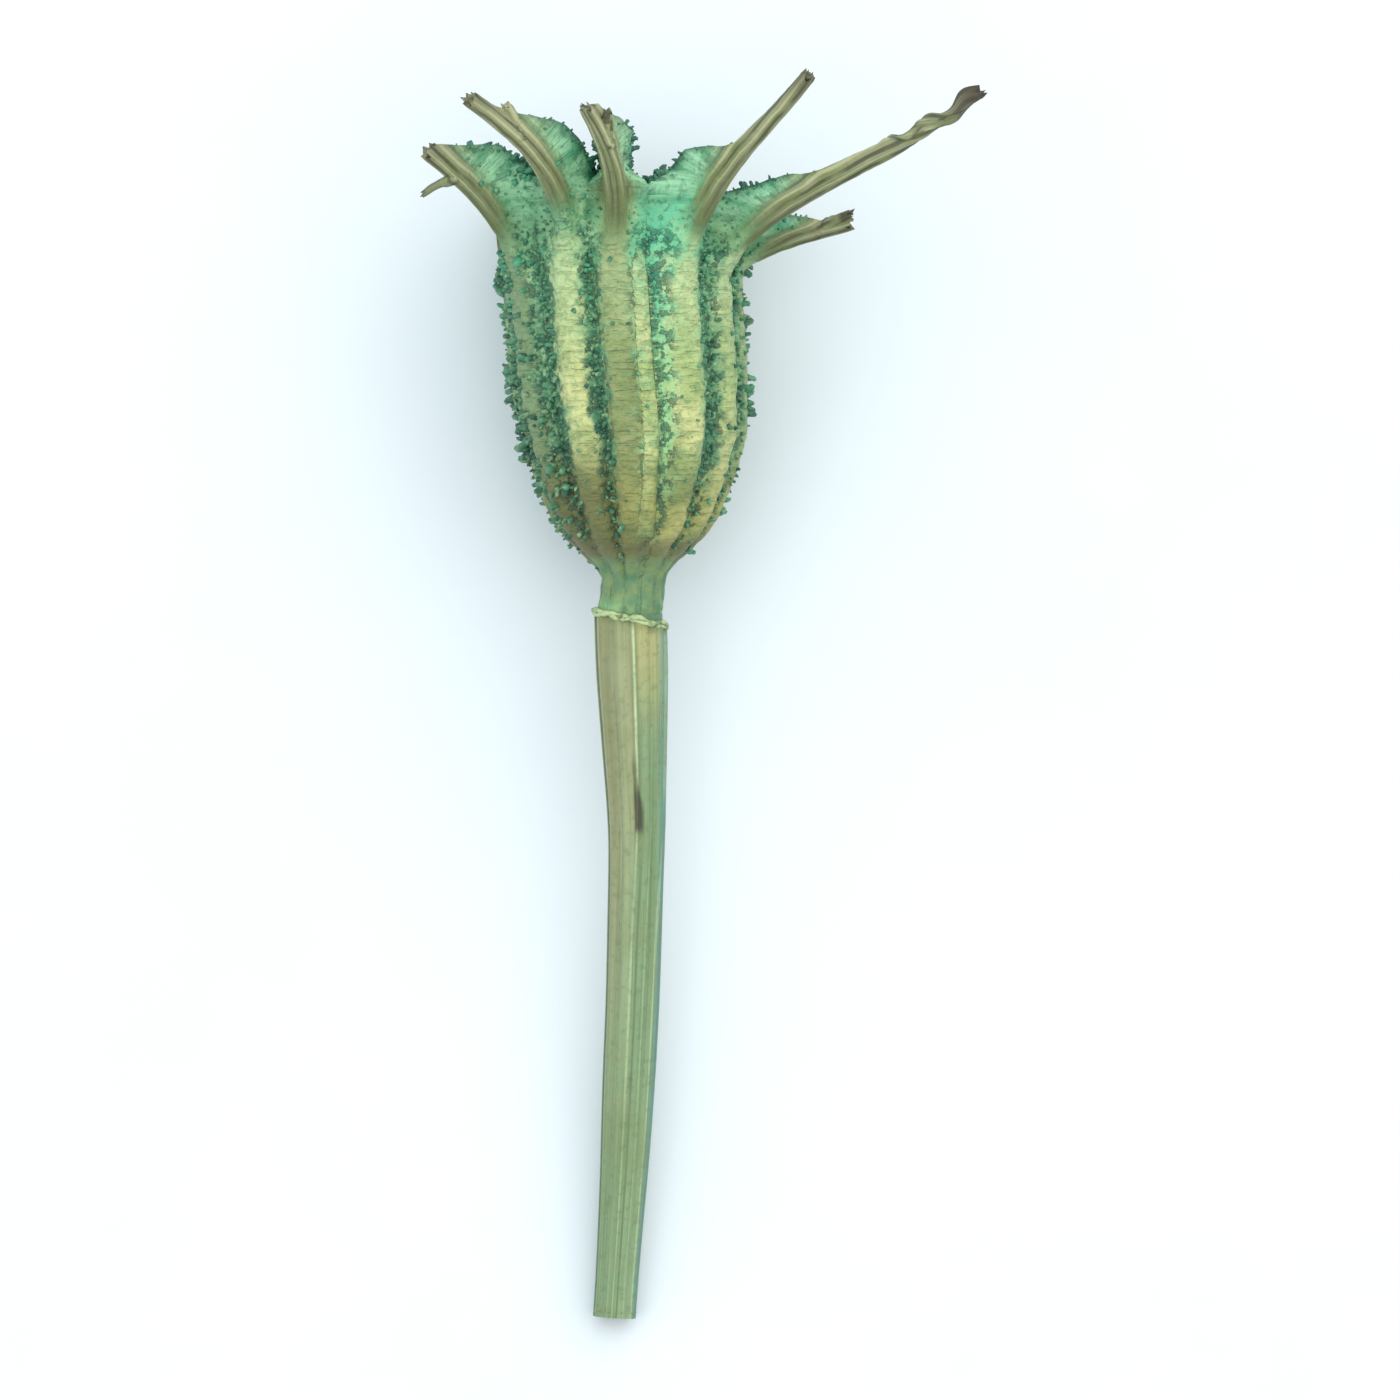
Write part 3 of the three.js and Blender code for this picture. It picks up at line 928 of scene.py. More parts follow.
        body_warts = (1 - smooth(stage, 0, 0.4)) * flank * smooth(along, -14.2, -12.0)
        web = 0.3 + 0.7 * smooth(stage, 0.95, 0.5)
        lip_warts = zones["lip"] * lerp(web, 1.0, smooth(share, 0.7, 0.86))
        rim = lip * smooth(share, 0.8, 0.92) * (1 - 0.7 * smooth(stage, 0.7, 1.1))
        clump = smooth(np.array([noise.noise(Vector(spot) * 0.75) for spot in spots]), -0.1, 0.35)
        zones["wart"] = np.clip(body_warts + lip_warts + crown + rim, 0, 1) * (1 - strap)
        size = 0.8 + 0.65 * clump * smooth(dye, 0.3, 0.7) - 0.3 * fresh - 0.45 * lip
        zones["wart_size"] = size + crown * (0.1 + 0.9 * fresh) + rim * 0.55
        for name, values in zones.items():
            store(body, name, values)
        return zones

    def roughen(self, body: bpy.types.Object, zones: dict[str, np.ndarray]) -> None:
        """Move the body's points a little, into the lumps and wrinkles of dry skin.

        Args:
            body: The joined body.
            zones: Each zone's strength at each point.
        """
        normals = [Vector(vertex.normal) for vertex in body.data.vertices]
        for i, vertex in enumerate(body.data.vertices):
            at = vertex.co / MM
            lump = noise.noise(at * 1.1) * 0.07 + noise.noise(at * 2.6) * 0.05
            wrinkle = Vector((zones["across"][i] * 0.8, zones["along"][i] * 2.4, at.x * 0.4))
            crease = noise.noise(wrinkle) * 0.06
            height = (lump + crease) * (1 - 0.75 * zones["strap"][i]) * (1 - 0.6 * zones["lip"][i])
            furrow = 0.06 * cos(zones["around"][i] * 2 * pi / FURROW_PITCH) * zones["strap"][i]
            vertex.co += normals[i] * (height + furrow) * MM

    def build(self) -> bpy.types.Object:
        """Build the capsule's skin as one closed mesh with its zones stored on its points."""
        made = [self.loft(order) for order in range(len(CARPELS))] + [self.vein()]
        strands = [self.strand(order) for order, carpel in enumerate(CARPELS) if carpel.split]
        body = self.join([piece for piece, _, _ in made] + strands)
        body.name = "capsule_skin"
        points = np.vstack([points for _, points, _ in made])
        marks = np.vstack([marks for _, _, marks in made])
        zones = self.mark(body, points, marks)
        self.roughen(body, zones)
        shade_smooth(body)
        return body


@dataclass
class Warts:
    """The warts that cover the capsule, strewn over its skin by Geometry Nodes."""

    spacing: float = 0.26
    size: float = 0.31
    density: float = 13.0
    seed: int = 7

    def shape(self, name: str, bend: float, girth: float, knob: float) -> bpy.types.Object:
        """Build one wart, 1 mm tall and standing on the origin.

        Args:
            name: The object's name.
            bend: How far its top leans over.
            girth: Its half-width at the foot.
            knob: How much its top swells.

        Returns:
            The wart.
        """
        heights = (-0.35, 0.3, 0.78)
        widths = (1.35, 0.8, 0.5 + knob)
        sides = 5
        points, faces = [], []
        for row, (height, width) in enumerate(zip(heights, widths)):
            for i in range(sides):
                turn = 2 * pi * i / sides + row * 0.5
                radius = girth * width * (1 + 0.18 * sin(3 * i + row * 2))
                lean = bend * max(height, 0) ** 2
                points.append((radius * cos(turn) + lean, radius * sin(turn), height))
        for row in range(len(heights) - 1):
            for i in range(sides):
                a, b = row * sides + i, row * sides + (i + 1) % sides
                faces.append((a, b, b + sides, a + sides))
        last = (len(heights) - 1) * sides
        faces.append(tuple(range(sides - 1, -1, -1)))
        points.append((bend * 0.9, 0, 1.0))
        for i in range(sides):
            faces.append((last + i, last + (i + 1) % sides, len(points) - 1))
        return mesh_object(name, np.array(points) * MM, faces)

    def tree(self, kinds: bpy.types.Collection, material: bpy.types.Material) -> bpy.types.NodeTree:
        """Build the tree that strews the shapes in a collection over a surface.

        Args:
            kinds: The collection of wart shapes.
            material: What the warts are dressed with.

        Returns:
            The tree.
        """
        inputs = {"Surface": "Geometry", "Seed": "Int"}
        inputs.update({name: "Float" for name in ("Spacing", "Density", "Size")})
        tree, graph, given = new_tree("strew_warts", "Geometry", inputs, ("Warts", "Geometry"))
        spread = graph.node(
            "GeometryNodeDistributePointsOnFaces",
            {
                "Mesh": given["Surface"],
                "Distance Min": given["Spacing"],
                "Density Max": given["Density"],
                "Density Factor": graph.stored("wart"),
                "Seed": given["Seed"],
            },
            distribute_method="POISSON",
        )
        shares = {2: 0.45, 3: 1.4, "Seed": given["Seed"]}
        chance = graph.node("FunctionNodeRandomValue", shares, data_type="FLOAT").outputs[1]
        sized = graph.stored("wart_size") * chance * given["Size"]
        leans = {0: (-0.35, -0.35, 0.0), 1: (0.35, 0.35, 6.28)}
        spin = graph.node("FunctionNodeRandomValue", leans, data_type="FLOAT_VECTOR").outputs[0]
        turns = {"Rotation": spread.outputs["Rotation"], "Rotate By": spin}
        turned = graph.node("FunctionNodeRotateRotation", turns, rotation_space="LOCAL")
        shapes = graph.node(
            "GeometryNodeCollectionInfo",
            {"Collection": kinds, "Separate Children": True, "Reset Children": True},
        )
        placed = graph.node(
            "GeometryNodeInstanceOnPoints",
            {
                "Points": spread.outputs["Points"],
                "Instance": shapes.outputs[0],
                "Pick Instance": True,
                "Rotation": turned.outputs[0],
                "Scale": sized,
            },
        )
        graph.hand_out(placed.outputs[0], material)
        return tree

    def build(self, skin: bpy.types.Object, material: bpy.types.Material) -> bpy.types.Object:
        """Strew warts over the capsule's skin.

        Args:
            skin: The capsule's skin, with its zones stored on it.
            material: What the warts are dressed with.

        Returns:
            One plain mesh of all the warts.
        """
        shapes = [
            self.shape("wart_hooked", 0.45, 0.42, 0.12),
            self.shape("wart_knobbed", 0.15, 0.46, 0.3),
            self.shape("wart_blunt", -0.25, 0.5, 0.18),
        ]
        kinds = set_aside("wart_shapes", shapes)
        piece = bpy.data.objects.new("capsule_warts", skin.data.copy())
        bpy.context.scene.collection.objects.link(piece)
        values = {"Spacing": self.spacing * MM, "Density": self.density / MM**2, "Size": self.size}
        run_tree(piece, self.tree(kinds, material), {**values, "Seed": self.seed})
        discard(kinds)
        shade_smooth(piece)
        return piece


@dataclass
class Stem:
    """The cut stem: a ribbed rod swept along a gentle bend by Geometry Nodes, with the scar round its top.

    Its radii are by depth below the scar. Its bend has the height, and the centre's x and z there. Its ribs
    are rib_height high where the stem's radius is rib_radius.
    """

    lie: Lie = field(default_factory=Lie)
    length: float = 33.0
    radii: tuple[tuple[float, float], ...] = (
        (0.0, 1.6), (1.0, 1.68), (4.0, 1.56), (10.4, 1.25), (22.4, 1.18), (30.0, 0.97), (33.0, 0.95),
    )
    bend: tuple[tuple[float, float, float], ...] = (
        (0.0, 0.0, 0.0), (-10.0, 0.32, 0.1), (-18.0, 0.12, 0.15), (-26.0, -0.28, 0.1), (-33.0, -0.75, 0.0),
    )
    ribs: int = 9
    rib_height: float = 0.07
    rib_radius: float = 1.25
    around: int = 96
    rim_radius: float = 1.74
    neck_radius: float = 1.53
    scar_steps: int = 150
    scar_sides: int = 9

    def route(self, share: float) -> np.ndarray:
        """Return the stem's centre a share of the way down from the scar.

        Args:
            share: The share, 0 at the scar and 1 at the cut end.

        Returns:
            The point in the pod's frame.
        """
        rows = np.array(self.bend)
        height = -self.length * share
        x = np.interp(-height, -rows[:, 0], rows[:, 1])
        z = np.interp(-height, -rows[:, 0], rows[:, 2])
        return np.array([x, height, z])

    def rail(self) -> bpy.types.Object:
        """Make the line that the stem is swept along, with its radius stored on its points."""
        count = 180
        raw = np.array([self.route(i / count) for i in range(count + 1)])
        kernel = np.hanning(31) / np.hanning(31).sum()
        padded = np.vstack([2 * raw[0] - raw[15:0:-1], raw, 2 * raw[-1] - raw[-2:-17:-1]])
        line = np.stack([np.convolve(padded[:, axis], kernel, "valid") for axis in range(3)], axis=1)
        mesh = bpy.data.meshes.new("stem_rail")
        edges = [(i, i + 1) for i in range(count)]
        mesh.from_pydata([tuple(point) for point in self.lie.place(line)], edges, [])
        piece = bpy.data.objects.new("stem_skin", mesh)
        bpy.context.scene.collection.objects.link(piece)
        depth = -line[:, 1]
        rows = np.array(self.radii)
        radius = np.interp(depth, rows[:, 0], rows[:, 1])
        radius = np.convolve(np.pad(radius, 12, "edge"), np.ones(25) / 25, "valid")
        store(piece, "girth", radius * MM)
        store(piece, "depth", depth)
        return piece

    def tree(self, material: bpy.types.Material) -> bpy.types.NodeTree:
        """Build the tree that sweeps a ribbed outline along the rail.

        Args:
            material: What the stem is dressed with.

        Returns:
            The tree.
        """
        inputs = {"Rail": "Geometry", "Ribs": "Float", "Rib Height": "Float", "Around": "Int"}
        tree, graph, given = new_tree("sweep_stem", "Geometry", inputs, ("Stem", "Geometry"))
        curve = graph.node("GeometryNodeMeshToCurve", {"Mesh": given["Rail"]})
        girth = graph.stored("girth")
        rail = graph.node("GeometryNodeSetCurveRadius", {"Curve": curve.outputs[0], "Radius": girth})
        round_outline = {"Resolution": given["Around"], "Radius": 1.0}
        circle = graph.node("GeometryNodeCurvePrimitiveCircle", round_outline)
        turn = Signal(graph, graph.node("GeometryNodeSplineParameter").outputs["Factor"])
        marks = {"Geometry": circle.outputs[0], "Name": "turn", "Value": turn}
        marked = graph.node("GeometryNodeStoreNamedAttribute", marks, data_type="FLOAT", domain="POINT")
        angle = turn * (2 * pi) * given["Ribs"]
        wave = graph.math("SINE", angle) + graph.math("SINE", angle * 2.34 + 1.1) * 0.45
        grown = wave * given["Rib Height"] + 1.0
        place = graph.node("GeometryNodeInputPosition").outputs[0]
        scaled = graph.node("ShaderNodeVectorMath", {0: place, "Scale": grown}, operation="SCALE")
        outline = graph.node(
            "GeometryNodeSetPosition",
            {"Geometry": marked.outputs[0], "Position": scaled.outputs[0]},
        )
        swept = graph.node(
            "GeometryNodeCurveToMesh",
            {
                "Curve": rail.outputs[0],
                "Profile Curve": outline.outputs[0],
                "Scale": girth,
                "Fill Caps": True,
            },
        )
        graph.hand_out(swept.outputs[0], material)
        return tree

    def build(self, material: bpy.types.Material) -> bpy.types.Object:
        """Sweep the stem.

        Args:
            material: What the stem is dressed with.

        Returns:
            The stem as a plain mesh.
        """
        piece = self.rail()
        height = self.rib_height / self.rib_radius
        values = {"Ribs": float(self.ribs), "Rib Height": height, "Around": self.around}
        run_tree(piece, self.tree(material), values)
        self.meet_scar(piece)
        self.cut(piece)
        shade_smooth(piece)
        return piece

    def meet_scar(self, piece: bpy.types.Object) -> None:
        """Raise the stem's top edge where the scar stands higher, and draw it in where it would stick out.

        Args:
            piece: The swept stem.
        """
        for vertex in piece.data.vertices:
            spot = self.lie.unplace(vertex.co)
            side = spot.x / self.rim_radius
            above = float(smooth(spot.y + SCAR_SLANT * side, -0.1, 0.05)) * float(smooth(side, 0.0, 0.3))
            drawn = lerp(1.0, min(1.0, self.neck_radius / max(np.hypot(spot.x, spot.z), 0.1)), above)
            spot.y += 0.12 * float(smooth(spot.y, -0.3, 0.0))
            spot.y += 0.3 * float(smooth(spot.y, -0.8, 0.0)) * max(-side, 0.0)
            spot.x, spot.z = spot.x * drawn, spot.z * drawn
            vertex.co = self.lie.matrix() @ spot

    def cut(self, piece: bpy.types.Object) -> None:
        """Sink the pith of the stem's cut end, and store where it is.

        Args:
            piece: The swept stem.
        """
        shell = bmesh.new()
        shell.from_mesh(piece.data)
        before = len(shell.verts)
        caps = [face for face in shell.faces if len(face.verts) > 8]
        end = min(caps, key=lambda face: face.calc_center_median().y)
        marks = [0.0] * before
        for inward, sunk, mark in ((0.14, 0.0, 0.5), (0.04, 0.22, 0.7), (0.2, 0.06, 1.0), (0.2, 0.02, 1.0)):
            bmesh.ops.inset_individual(shell, faces=[end], thickness=inward * MM, depth=-sunk * MM)
            marks += [mark] * (len(shell.verts) - len(marks))
        bmesh.ops.poke(shell, faces=[end])
        marks += [1.0] * (len(shell.verts) - len(marks))
        shell.to_mesh(piece.data)
        shell.free()
        store(piece, "pith", np.array(marks))

    def scar(self, material: bpy.types.Material) -> bpy.types.Object:
        """Build the two thin twisted strands that the fallen petals left round the stem's top.

        Args:
            material: What the strands are dressed with.

        Returns:
            Both strands as one mesh.
        """
        around, count = self.scar_steps, self.scar_sides
        points, faces = [], []
        for strand in range(2):
            for i in range(around):
                here, after = (strand * around + i) * count, (strand * around + (i + 1) % around) * count
                turn = 2 * pi * i / around
                twist = 4 * turn + strand * pi + 0.4 * sin(3 * turn)
                thick = 0.1 + 0.025 * sin(9 * turn + strand * 2) + 0.015 * sin(23 * turn)
                lift = 0.11 * sin(twist) - SCAR_SLANT * sin(turn) - 0.06 + 0.03 * sin(7 * turn)
                reach = self.rim_radius - 0.06 + 0.05 * cos(twist) + 0.02 * sin(11 * turn + strand)
                for j in range(count):
                    bend = 2 * pi * j / count
                    radius = reach + thick * cos(bend)
                    points.append((radius * sin(turn), lift + thick * 1.1 * sin(bend), radius * cos(turn)))
                    up = (j + 1) % count
                    faces.append((here + j, here + up, after + up, after + j))
        piece = mesh_object("scar_rim", self.lie.place(np.array(points)), faces)
        piece.data.materials.append(material)
        shade_smooth(piece)
        return piece


# Finishes


def mottle_group() -> bpy.types.NodeTree:
    """Build the group that gives soft blotches as a mask."""
    inputs = {"Vector": "Vector", "Scale": "Float", "Low": "Float", "High": "Float"}
    tree, graph, given = new_tree("blotches", "Shader", inputs, ("Mask", "Float"))
    noisy = {"Vector": given["Vector"], "Scale": given["Scale"], "Detail": 5.0, "Roughness": 0.6}
    cloud = graph.node("ShaderNodeTexNoise", noisy).outputs["Fac"]
    graph.node("NodeGroupOutput", {"Mask": graph.fade(cloud, given["Low"], given["High"])})
    return tree


def grain_group() -> bpy.types.NodeTree:
    """Build the group that gives the height of fine dry wrinkles and pores."""
    inputs = {"Vector": "Vector", "Wrinkle Scale": "Float", "Pore Scale": "Float"}
    tree, graph, given = new_tree("dry_grain", "Shader", inputs, ("Height", "Float"))
    place = given["Vector"]
    noisy = {"Vector": place, "Scale": given["Wrinkle Scale"], "Detail": 4.0, "Distortion": 0.6}
    wrinkles = Signal(graph, graph.node("ShaderNodeTexNoise", noisy).outputs["Fac"])
    pores = graph.node("ShaderNodeTexVoronoi", {"Vector": place, "Scale": given["Pore Scale"]})
    height = abs(wrinkles - 0.5) * 2.0 + Signal(graph, pores.outputs[0]) * 0.3
    graph.node("NodeGroupOutput", {"Height": height})
    return tree


@dataclass(frozen=True)
class Groups:
    """The shader groups that more than one finish uses."""

    mottle: bpy.types.NodeTree
    grain: bpy.types.NodeTree


class Tint(Enum):
    """The named colours of the dried and dyed pod, and of the light and shade painted on it, as screen
    colours.
    """

    RIDGE = (204, 208, 140)
    RIDGE_GREEN = (168, 190, 118)
    RIDGE_DULL = (146, 160, 92)
    RIDGE_TOP = (180, 208, 152)
    RIDGE_TEAL = (112, 140, 98)
    WRINKLE = (106, 124, 66)
    GROOVE = (78, 136, 98)
    GROOVE_PALE = (148, 196, 136)
    DEEP = (24, 84, 66)
    MINT = (70, 182, 140)
    WEB = (88, 148, 104)
    FLECK = (182, 210, 150)
    LIP = (158, 216, 172)
    OLIVE = (108, 120, 66)
    OCHRE = (160, 154, 78)
    BROWN = (104, 92, 52)
    NECK = (122, 144, 92)
    NECK_TEAL = (80, 122, 86)
    FOOT = (88, 106, 54)
    # Painted shade for the barrel's lower left.
    SOIL = (92, 96, 48)
    KHAKI = (140, 144, 106)
    # Painted shade in the straps' furrows.
    FURROW = (60, 64, 40)
    # Painted highlight on the crests of the straps' strands.
    STRAW = (188, 190, 148)
    CHARRED = (68, 60, 46)
    INSIDE = (104, 116, 66)
    STEM_PALE = (186, 208, 160)
    STEM_KHAKI = (138, 139, 98)
    STEM_STRAW = (160, 158, 100)
    STEM_GREEN = (108, 138, 96)
    # Painted shade along the stem's edge on its green side.
    STEM_TEAL = (92, 138, 122)
    STEM_DARK = (82, 106, 70)
    BLEMISH = (50, 50, 26)
    SCAR = (176, 194, 142)
    SCAR_DARK = (84, 108, 70)
    PITH = (210, 196, 146)
    RUST = (164, 116, 66)
    FLOOR = (220, 229, 235)
    FLOOR_PALE = (224, 232, 237)

    @property
    def linear(self) -> tuple[float, float, float, float]:
        """Return the tint as a linear colour."""
        return srgb(*self.value)


class Surface(Graph):
    """A material under construction, with its Principled shader joined up."""

    def __init__(self, name: str, groups: Groups, roughness: float, sheen: float) -> None:
        """Start a material.

        Args:
            name: Its name.
            groups: The shader groups that it may use.
            roughness: The shader's own roughness.
            sheen: The weight of a soft dry sheen.
        """
        self.material = bpy.data.materials.new(name)
        self.material.use_nodes = True
        self.material.node_tree.nodes.clear()
        super().__init__(self.material.node_tree)
        self.groups = groups
        self.shader = self.node("ShaderNodeBsdfPrincipled", {"Roughness": roughness, "Sheen Weight": sheen})
        self.node("ShaderNodeOutputMaterial", {"Surface": self.shader.outputs[0]})
        self.place = self.node("ShaderNodeTexCoord").outputs["Object"]

    def blotch(self, scale: float, low: float, high: float) -> Signal:
        """Return the mask of soft blotches, of which fewer are left the higher low and high are."""
        inputs = {"Vector": self.place, "Scale": scale, "Low": low, "High": high}
        return Signal(self, self.node("ShaderNodeGroup", inputs, node_tree=self.groups.mottle).outputs[0])

    def grain(self, wrinkles: float, pores: float) -> Signal:
        """Return the height of a dry grain, by the scales of its wrinkles and its pores."""
        inputs = {"Vector": self.place, "Wrinkle Scale": wrinkles, "Pore Scale": pores}
        return Signal(self, self.node("ShaderNodeGroup", inputs, node_tree=self.groups.grain).outputs[0])

    def finish(self, colour: Signal, height: Signal | None = None, depth: float = 0.0) -> bpy.types.Material:
        """Join the colour and the relief to the shader.

        Args:
            colour: The colour.
            height: The relief's height, if there is one.
            depth: How deep a height of 1 is, in millimetres.

        Returns:
            The finished material.
        """
        self.feed(self.shader.inputs["Base Color"], colour)
        if height:
            bump = self.node("ShaderNodeBump", {"Height": height, "Distance": depth * MM, "Strength": 1.0})
            self.feed(self.shader.inputs["Normal"], bump.outputs[0])
        return self.material


@dataclass(frozen=True)
class Finish:
    """One finish: a Principled surface whose colour and relief come from nodes."""

    name: str
    groups: Groups

    def start(self, roughness: float, sheen: float = 0.0) -> Surface:
        """Start the finish's material, of a roughness and a sheen."""
        return Surface(self.name, self.groups, roughness, sheen)


@dataclass(frozen=True)
class PodSkin(Finish):
    """The capsule's skin: pale wrinkled ridges, teal grooves, mint lips and khaki straps."""

    def streaks(self, graph: Surface, side: Signal, run: Signal, detail: float) -> Signal:
        """Return a noise over two signals, so that it is drawn out along the slower one.

        Args:
            graph: The material's graph.
            side: The first signal.
            run: The second.
            detail: The noise's detail.

        Returns:
            The noise.
        """
        vector = graph.node("ShaderNodeCombineXYZ", {0: side, 1: run}).outputs[0]
        streak = graph.node("ShaderNodeTexNoise", {"Vector": vector, "Scale": 1.0, "Detail": detail})
        return Signal(graph, streak.outputs["Fac"])

    def barrel(self, graph: Surface, rungs: Signal, specks: Signal) -> Signal:
        """Join the colours of the barrel and the neck. Heights are counted up from the barrel's shoulder.

        Args:
            graph: The material's graph.
            rungs: The mask of the ridges' cross wrinkles.
            specks: The mask of the small dark warts that cover the grooves.

        Returns:
            The colour.
        """
        along, groove, fresh, brown = graph.attributes("along", "groove", "fresh", "brown")
        patch, fray = graph.blotch(300.0, 0.4, 0.62), graph.blotch(1300.0, 0.3, 0.7)
        dots, cloud = graph.blotch(3400.0, 0.52, 0.6), graph.blotch(800.0, 0.45, 0.7)
        high = graph.fade(along, -6.0, 0.5)
        browned = graph.fade(along, -2.0, -6.5) * 0.35 + 0.5 + patch * 0.15
        dusk = graph.fade(along, -6.0, -11.0) * graph.fade(patch, 0.0, 1.0)
        ridge = graph.coats(
            graph.mix(patch, Tint.RIDGE, Tint.RIDGE_GREEN),
            (cloud * 0.55, Tint.RIDGE_DULL),
            (high * 0.7, Tint.RIDGE_TOP),
            (graph.attribute("dye"), Tint.RIDGE_TEAL),
            (brown * browned, Tint.OLIVE),
            (rungs * 0.28, Tint.WRINKLE),
            (dots * 0.32, Tint.GROOVE),
            (dusk * 0.5, Tint.OLIVE),
        )
        web = graph.coats(
            graph.mix(fresh, Tint.WEB, Tint.MINT),
            (fray * 0.3, Tint.GROOVE_PALE),
            (cloud * 0.35, Tint.FLECK),
            (dots * 0.6, Tint.DEEP),
        )
        sides = graph.coats(
            graph.mix(fresh, Tint.GROOVE, Tint.GROOVE_PALE),
            (high, web),
            (graph.blotch(2600.0, 0.54, 0.64) * 0.45, Tint.FLECK),
        )
        foot = graph.fade(along, -15.1, -15.9) * graph.fade(patch, 0.9, 0.1)
        neck = graph.coats(graph.mix(fray, Tint.NECK, Tint.NECK_TEAL), (foot * 0.6, Tint.GROOVE_PALE))
        edge = groove + (fray - 0.5) * 0.45
        kept = brown * graph.fade(abs(graph.attribute("across")), 0.9, 0.5)
        risen = graph.fade(along + groove * 2.5 + fray * 1.6, 1.4, 3.6) * (1.0 - kept)
        waist_line = graph.fade(along, -12.2, -13.0) * graph.fade(along, -13.9, -13.1)
        return graph.coats(
            ridge,
            (graph.fade(edge, 0.2, 0.66), sides),
            (risen, web),
            (graph.fade(along, -7.5, -12.0) * 0.7, graph.mix(patch, Tint.OCHRE, Tint.OLIVE)),
            # Painted shade over the barrel's lower left.
            (graph.attribute("soiled") * 0.85, Tint.SOIL),
            (specks * graph.fade(groove, 0.1, 0.5) * 0.7, Tint.DEEP),
            (graph.fade(along, -12.6, -13.6), neck),
            (waist_line * 0.6, Tint.BROWN),
        )

    def lips(self, graph: Surface, veins: Signal, pleat: Signal, specks: Signal) -> Signal:
        """Join the colours of the lips.

        Args:
            graph: The material's graph.
            veins: The noise of the lips' veins.
            pleat: The mask of their pleats.
            specks: The mask of their small dark warts.

        Returns:
            The colour.
        """
        shade = graph.attribute("shade")
        dull = graph.math("MAXIMUM", graph.blotch(420.0, 0.4, 0.6), shade)
        by_strap = graph.fade(graph.attribute("depth_share"), 0.75, 0.3) * 0.7 * graph.attribute("freed")
        return graph.coats(
            graph.mix(graph.fade(veins, 0.4, 0.66), Tint.LIP, graph.mix(dull, Tint.MINT, Tint.WEB)),
            (pleat * 0.45, Tint.WEB),
            (by_strap, graph.mix(shade, Tint.FLECK, Tint.OLIVE)),
            (specks * 0.45, Tint.DEEP),
        )

    def straps(self, graph: Surface, fibres: Signal) -> Signal:
        """Join the colours of the straps and the styles, with painted highlights on their strands' crests
        and painted shade in their furrows.

        Args:
            graph: The material's graph.
            fibres: The noise of their fibres.

        Returns:
            The colour.
        """
        across, along, freed = graph.attributes("across", "along", "freed")
        wander = graph.attribute("around") + self.streaks(graph, across, along * 0.5, 2.0) * 0.35
        wave = graph.math("COSINE", wander * (2 * pi / FURROW_PITCH))
        # Painted highlight on the crests between the furrows.
        pale = graph.fade(wave, 0.55, 0.98) * graph.fade(freed, 0.1, 0.8) * 0.6
        broken = graph.fade(self.streaks(graph, across * 1.2, along * 0.45, 2.0), 0.3, 0.5)
        # Painted shade in the furrows.
        furrow = graph.fade(wave, -0.35, -0.95) * broken * (freed * 0.5 + 0.35)
        return graph.coats(
            graph.mix(freed, Tint.FOOT, Tint.KHAKI),
            (graph.fade(fibres, 0.45, 0.7), Tint.OLIVE),
            (pale, Tint.STRAW),
            (furrow, Tint.FURROW),
            (graph.attribute("tip") * graph.attribute("burnt"), Tint.CHARRED),
        )

    def make(self) -> bpy.types.Material:
        """Build the material."""
        graph = self.start(0.6, 0.05)
        across, along, strap, freed = graph.attributes("across", "along", "strap", "freed")
        lip, groove, share = graph.attributes("lip", "groove", "depth_share")
        specks = graph.blotch(2300.0, 0.5, 0.6)
        bare = graph.fade(strap + lip, 0.5, 0.0) * graph.fade(along, -13.4, -12.2)
        crease = self.streaks(graph, across * 0.9, along * 4.0, 3.0)
        rungs = graph.fade(crease, 0.47, 0.62) * graph.fade(groove, 0.55, 0.25) * bare
        veins = self.streaks(graph, along * 2.4, share * 1.2, 4.0)
        pleats = self.streaks(graph, along * 6.5, share * 1.6, 3.0)
        pleat = graph.fade(pleats, 0.46, 0.62) * lip * freed
        fibres = self.streaks(graph, across * 6.0, along * 0.3, 3.0)
        lumps = self.streaks(graph, across * 1.6, along * 1.9, 2.0)
        colour = graph.coats(
            self.barrel(graph, rungs, specks),
            (lip * graph.fade(freed, 0.05, 0.6), self.lips(graph, veins, pleat, specks)),
            (graph.attribute("inner"), graph.mix(graph.fade(veins, 0.4, 0.6), Tint.INSIDE, Tint.GROOVE)),
            (strap, self.straps(graph, fibres)),
            (graph.attribute("crown"), graph.mix(specks, Tint.MINT, Tint.DEEP)),
            (graph.attribute("edge") * 0.85, Tint.DEEP),
        )
        bumps = specks * graph.fade(groove, 0.2, 0.5)
        relief = graph.grain(1500.0, 3800.0) + fibres * strap * 2.0 - rungs * 0.8 + lumps * bare * 5.0
        return graph.finish(colour, relief - pleat * 1.2 + bumps * 1.6, 0.06)


@dataclass(frozen=True)
class WartSkin(Finish):
    """The warts: dark teal, paler here and there."""

    def make(self) -> bpy.types.Material:
        """Build the material."""
        graph = self.start(0.55, 0.1)
        first = graph.blotch(900.0, 0.36, 0.6)
        high = graph.fade(graph.attribute("along"), -6.0, 2.0) * 0.45
        thin = graph.math("MAXIMUM", high, graph.attribute("fresh") * 0.35)
        fringe = graph.math("MAXIMUM", graph.attribute("edge"), graph.attribute("crown"))
        colour = graph.coats(
            graph.mix(first, Tint.DEEP, Tint.GROOVE),
            (graph.blotch(2100.0, 0.5, 0.66) * 0.45, Tint.FLECK),
            (thin, graph.mix(first, Tint.GROOVE, Tint.MINT)),
            (fringe * 0.85, Tint.DEEP),
        )
        return graph.finish(colour, graph.grain(3500.0, 8000.0), 0.03)


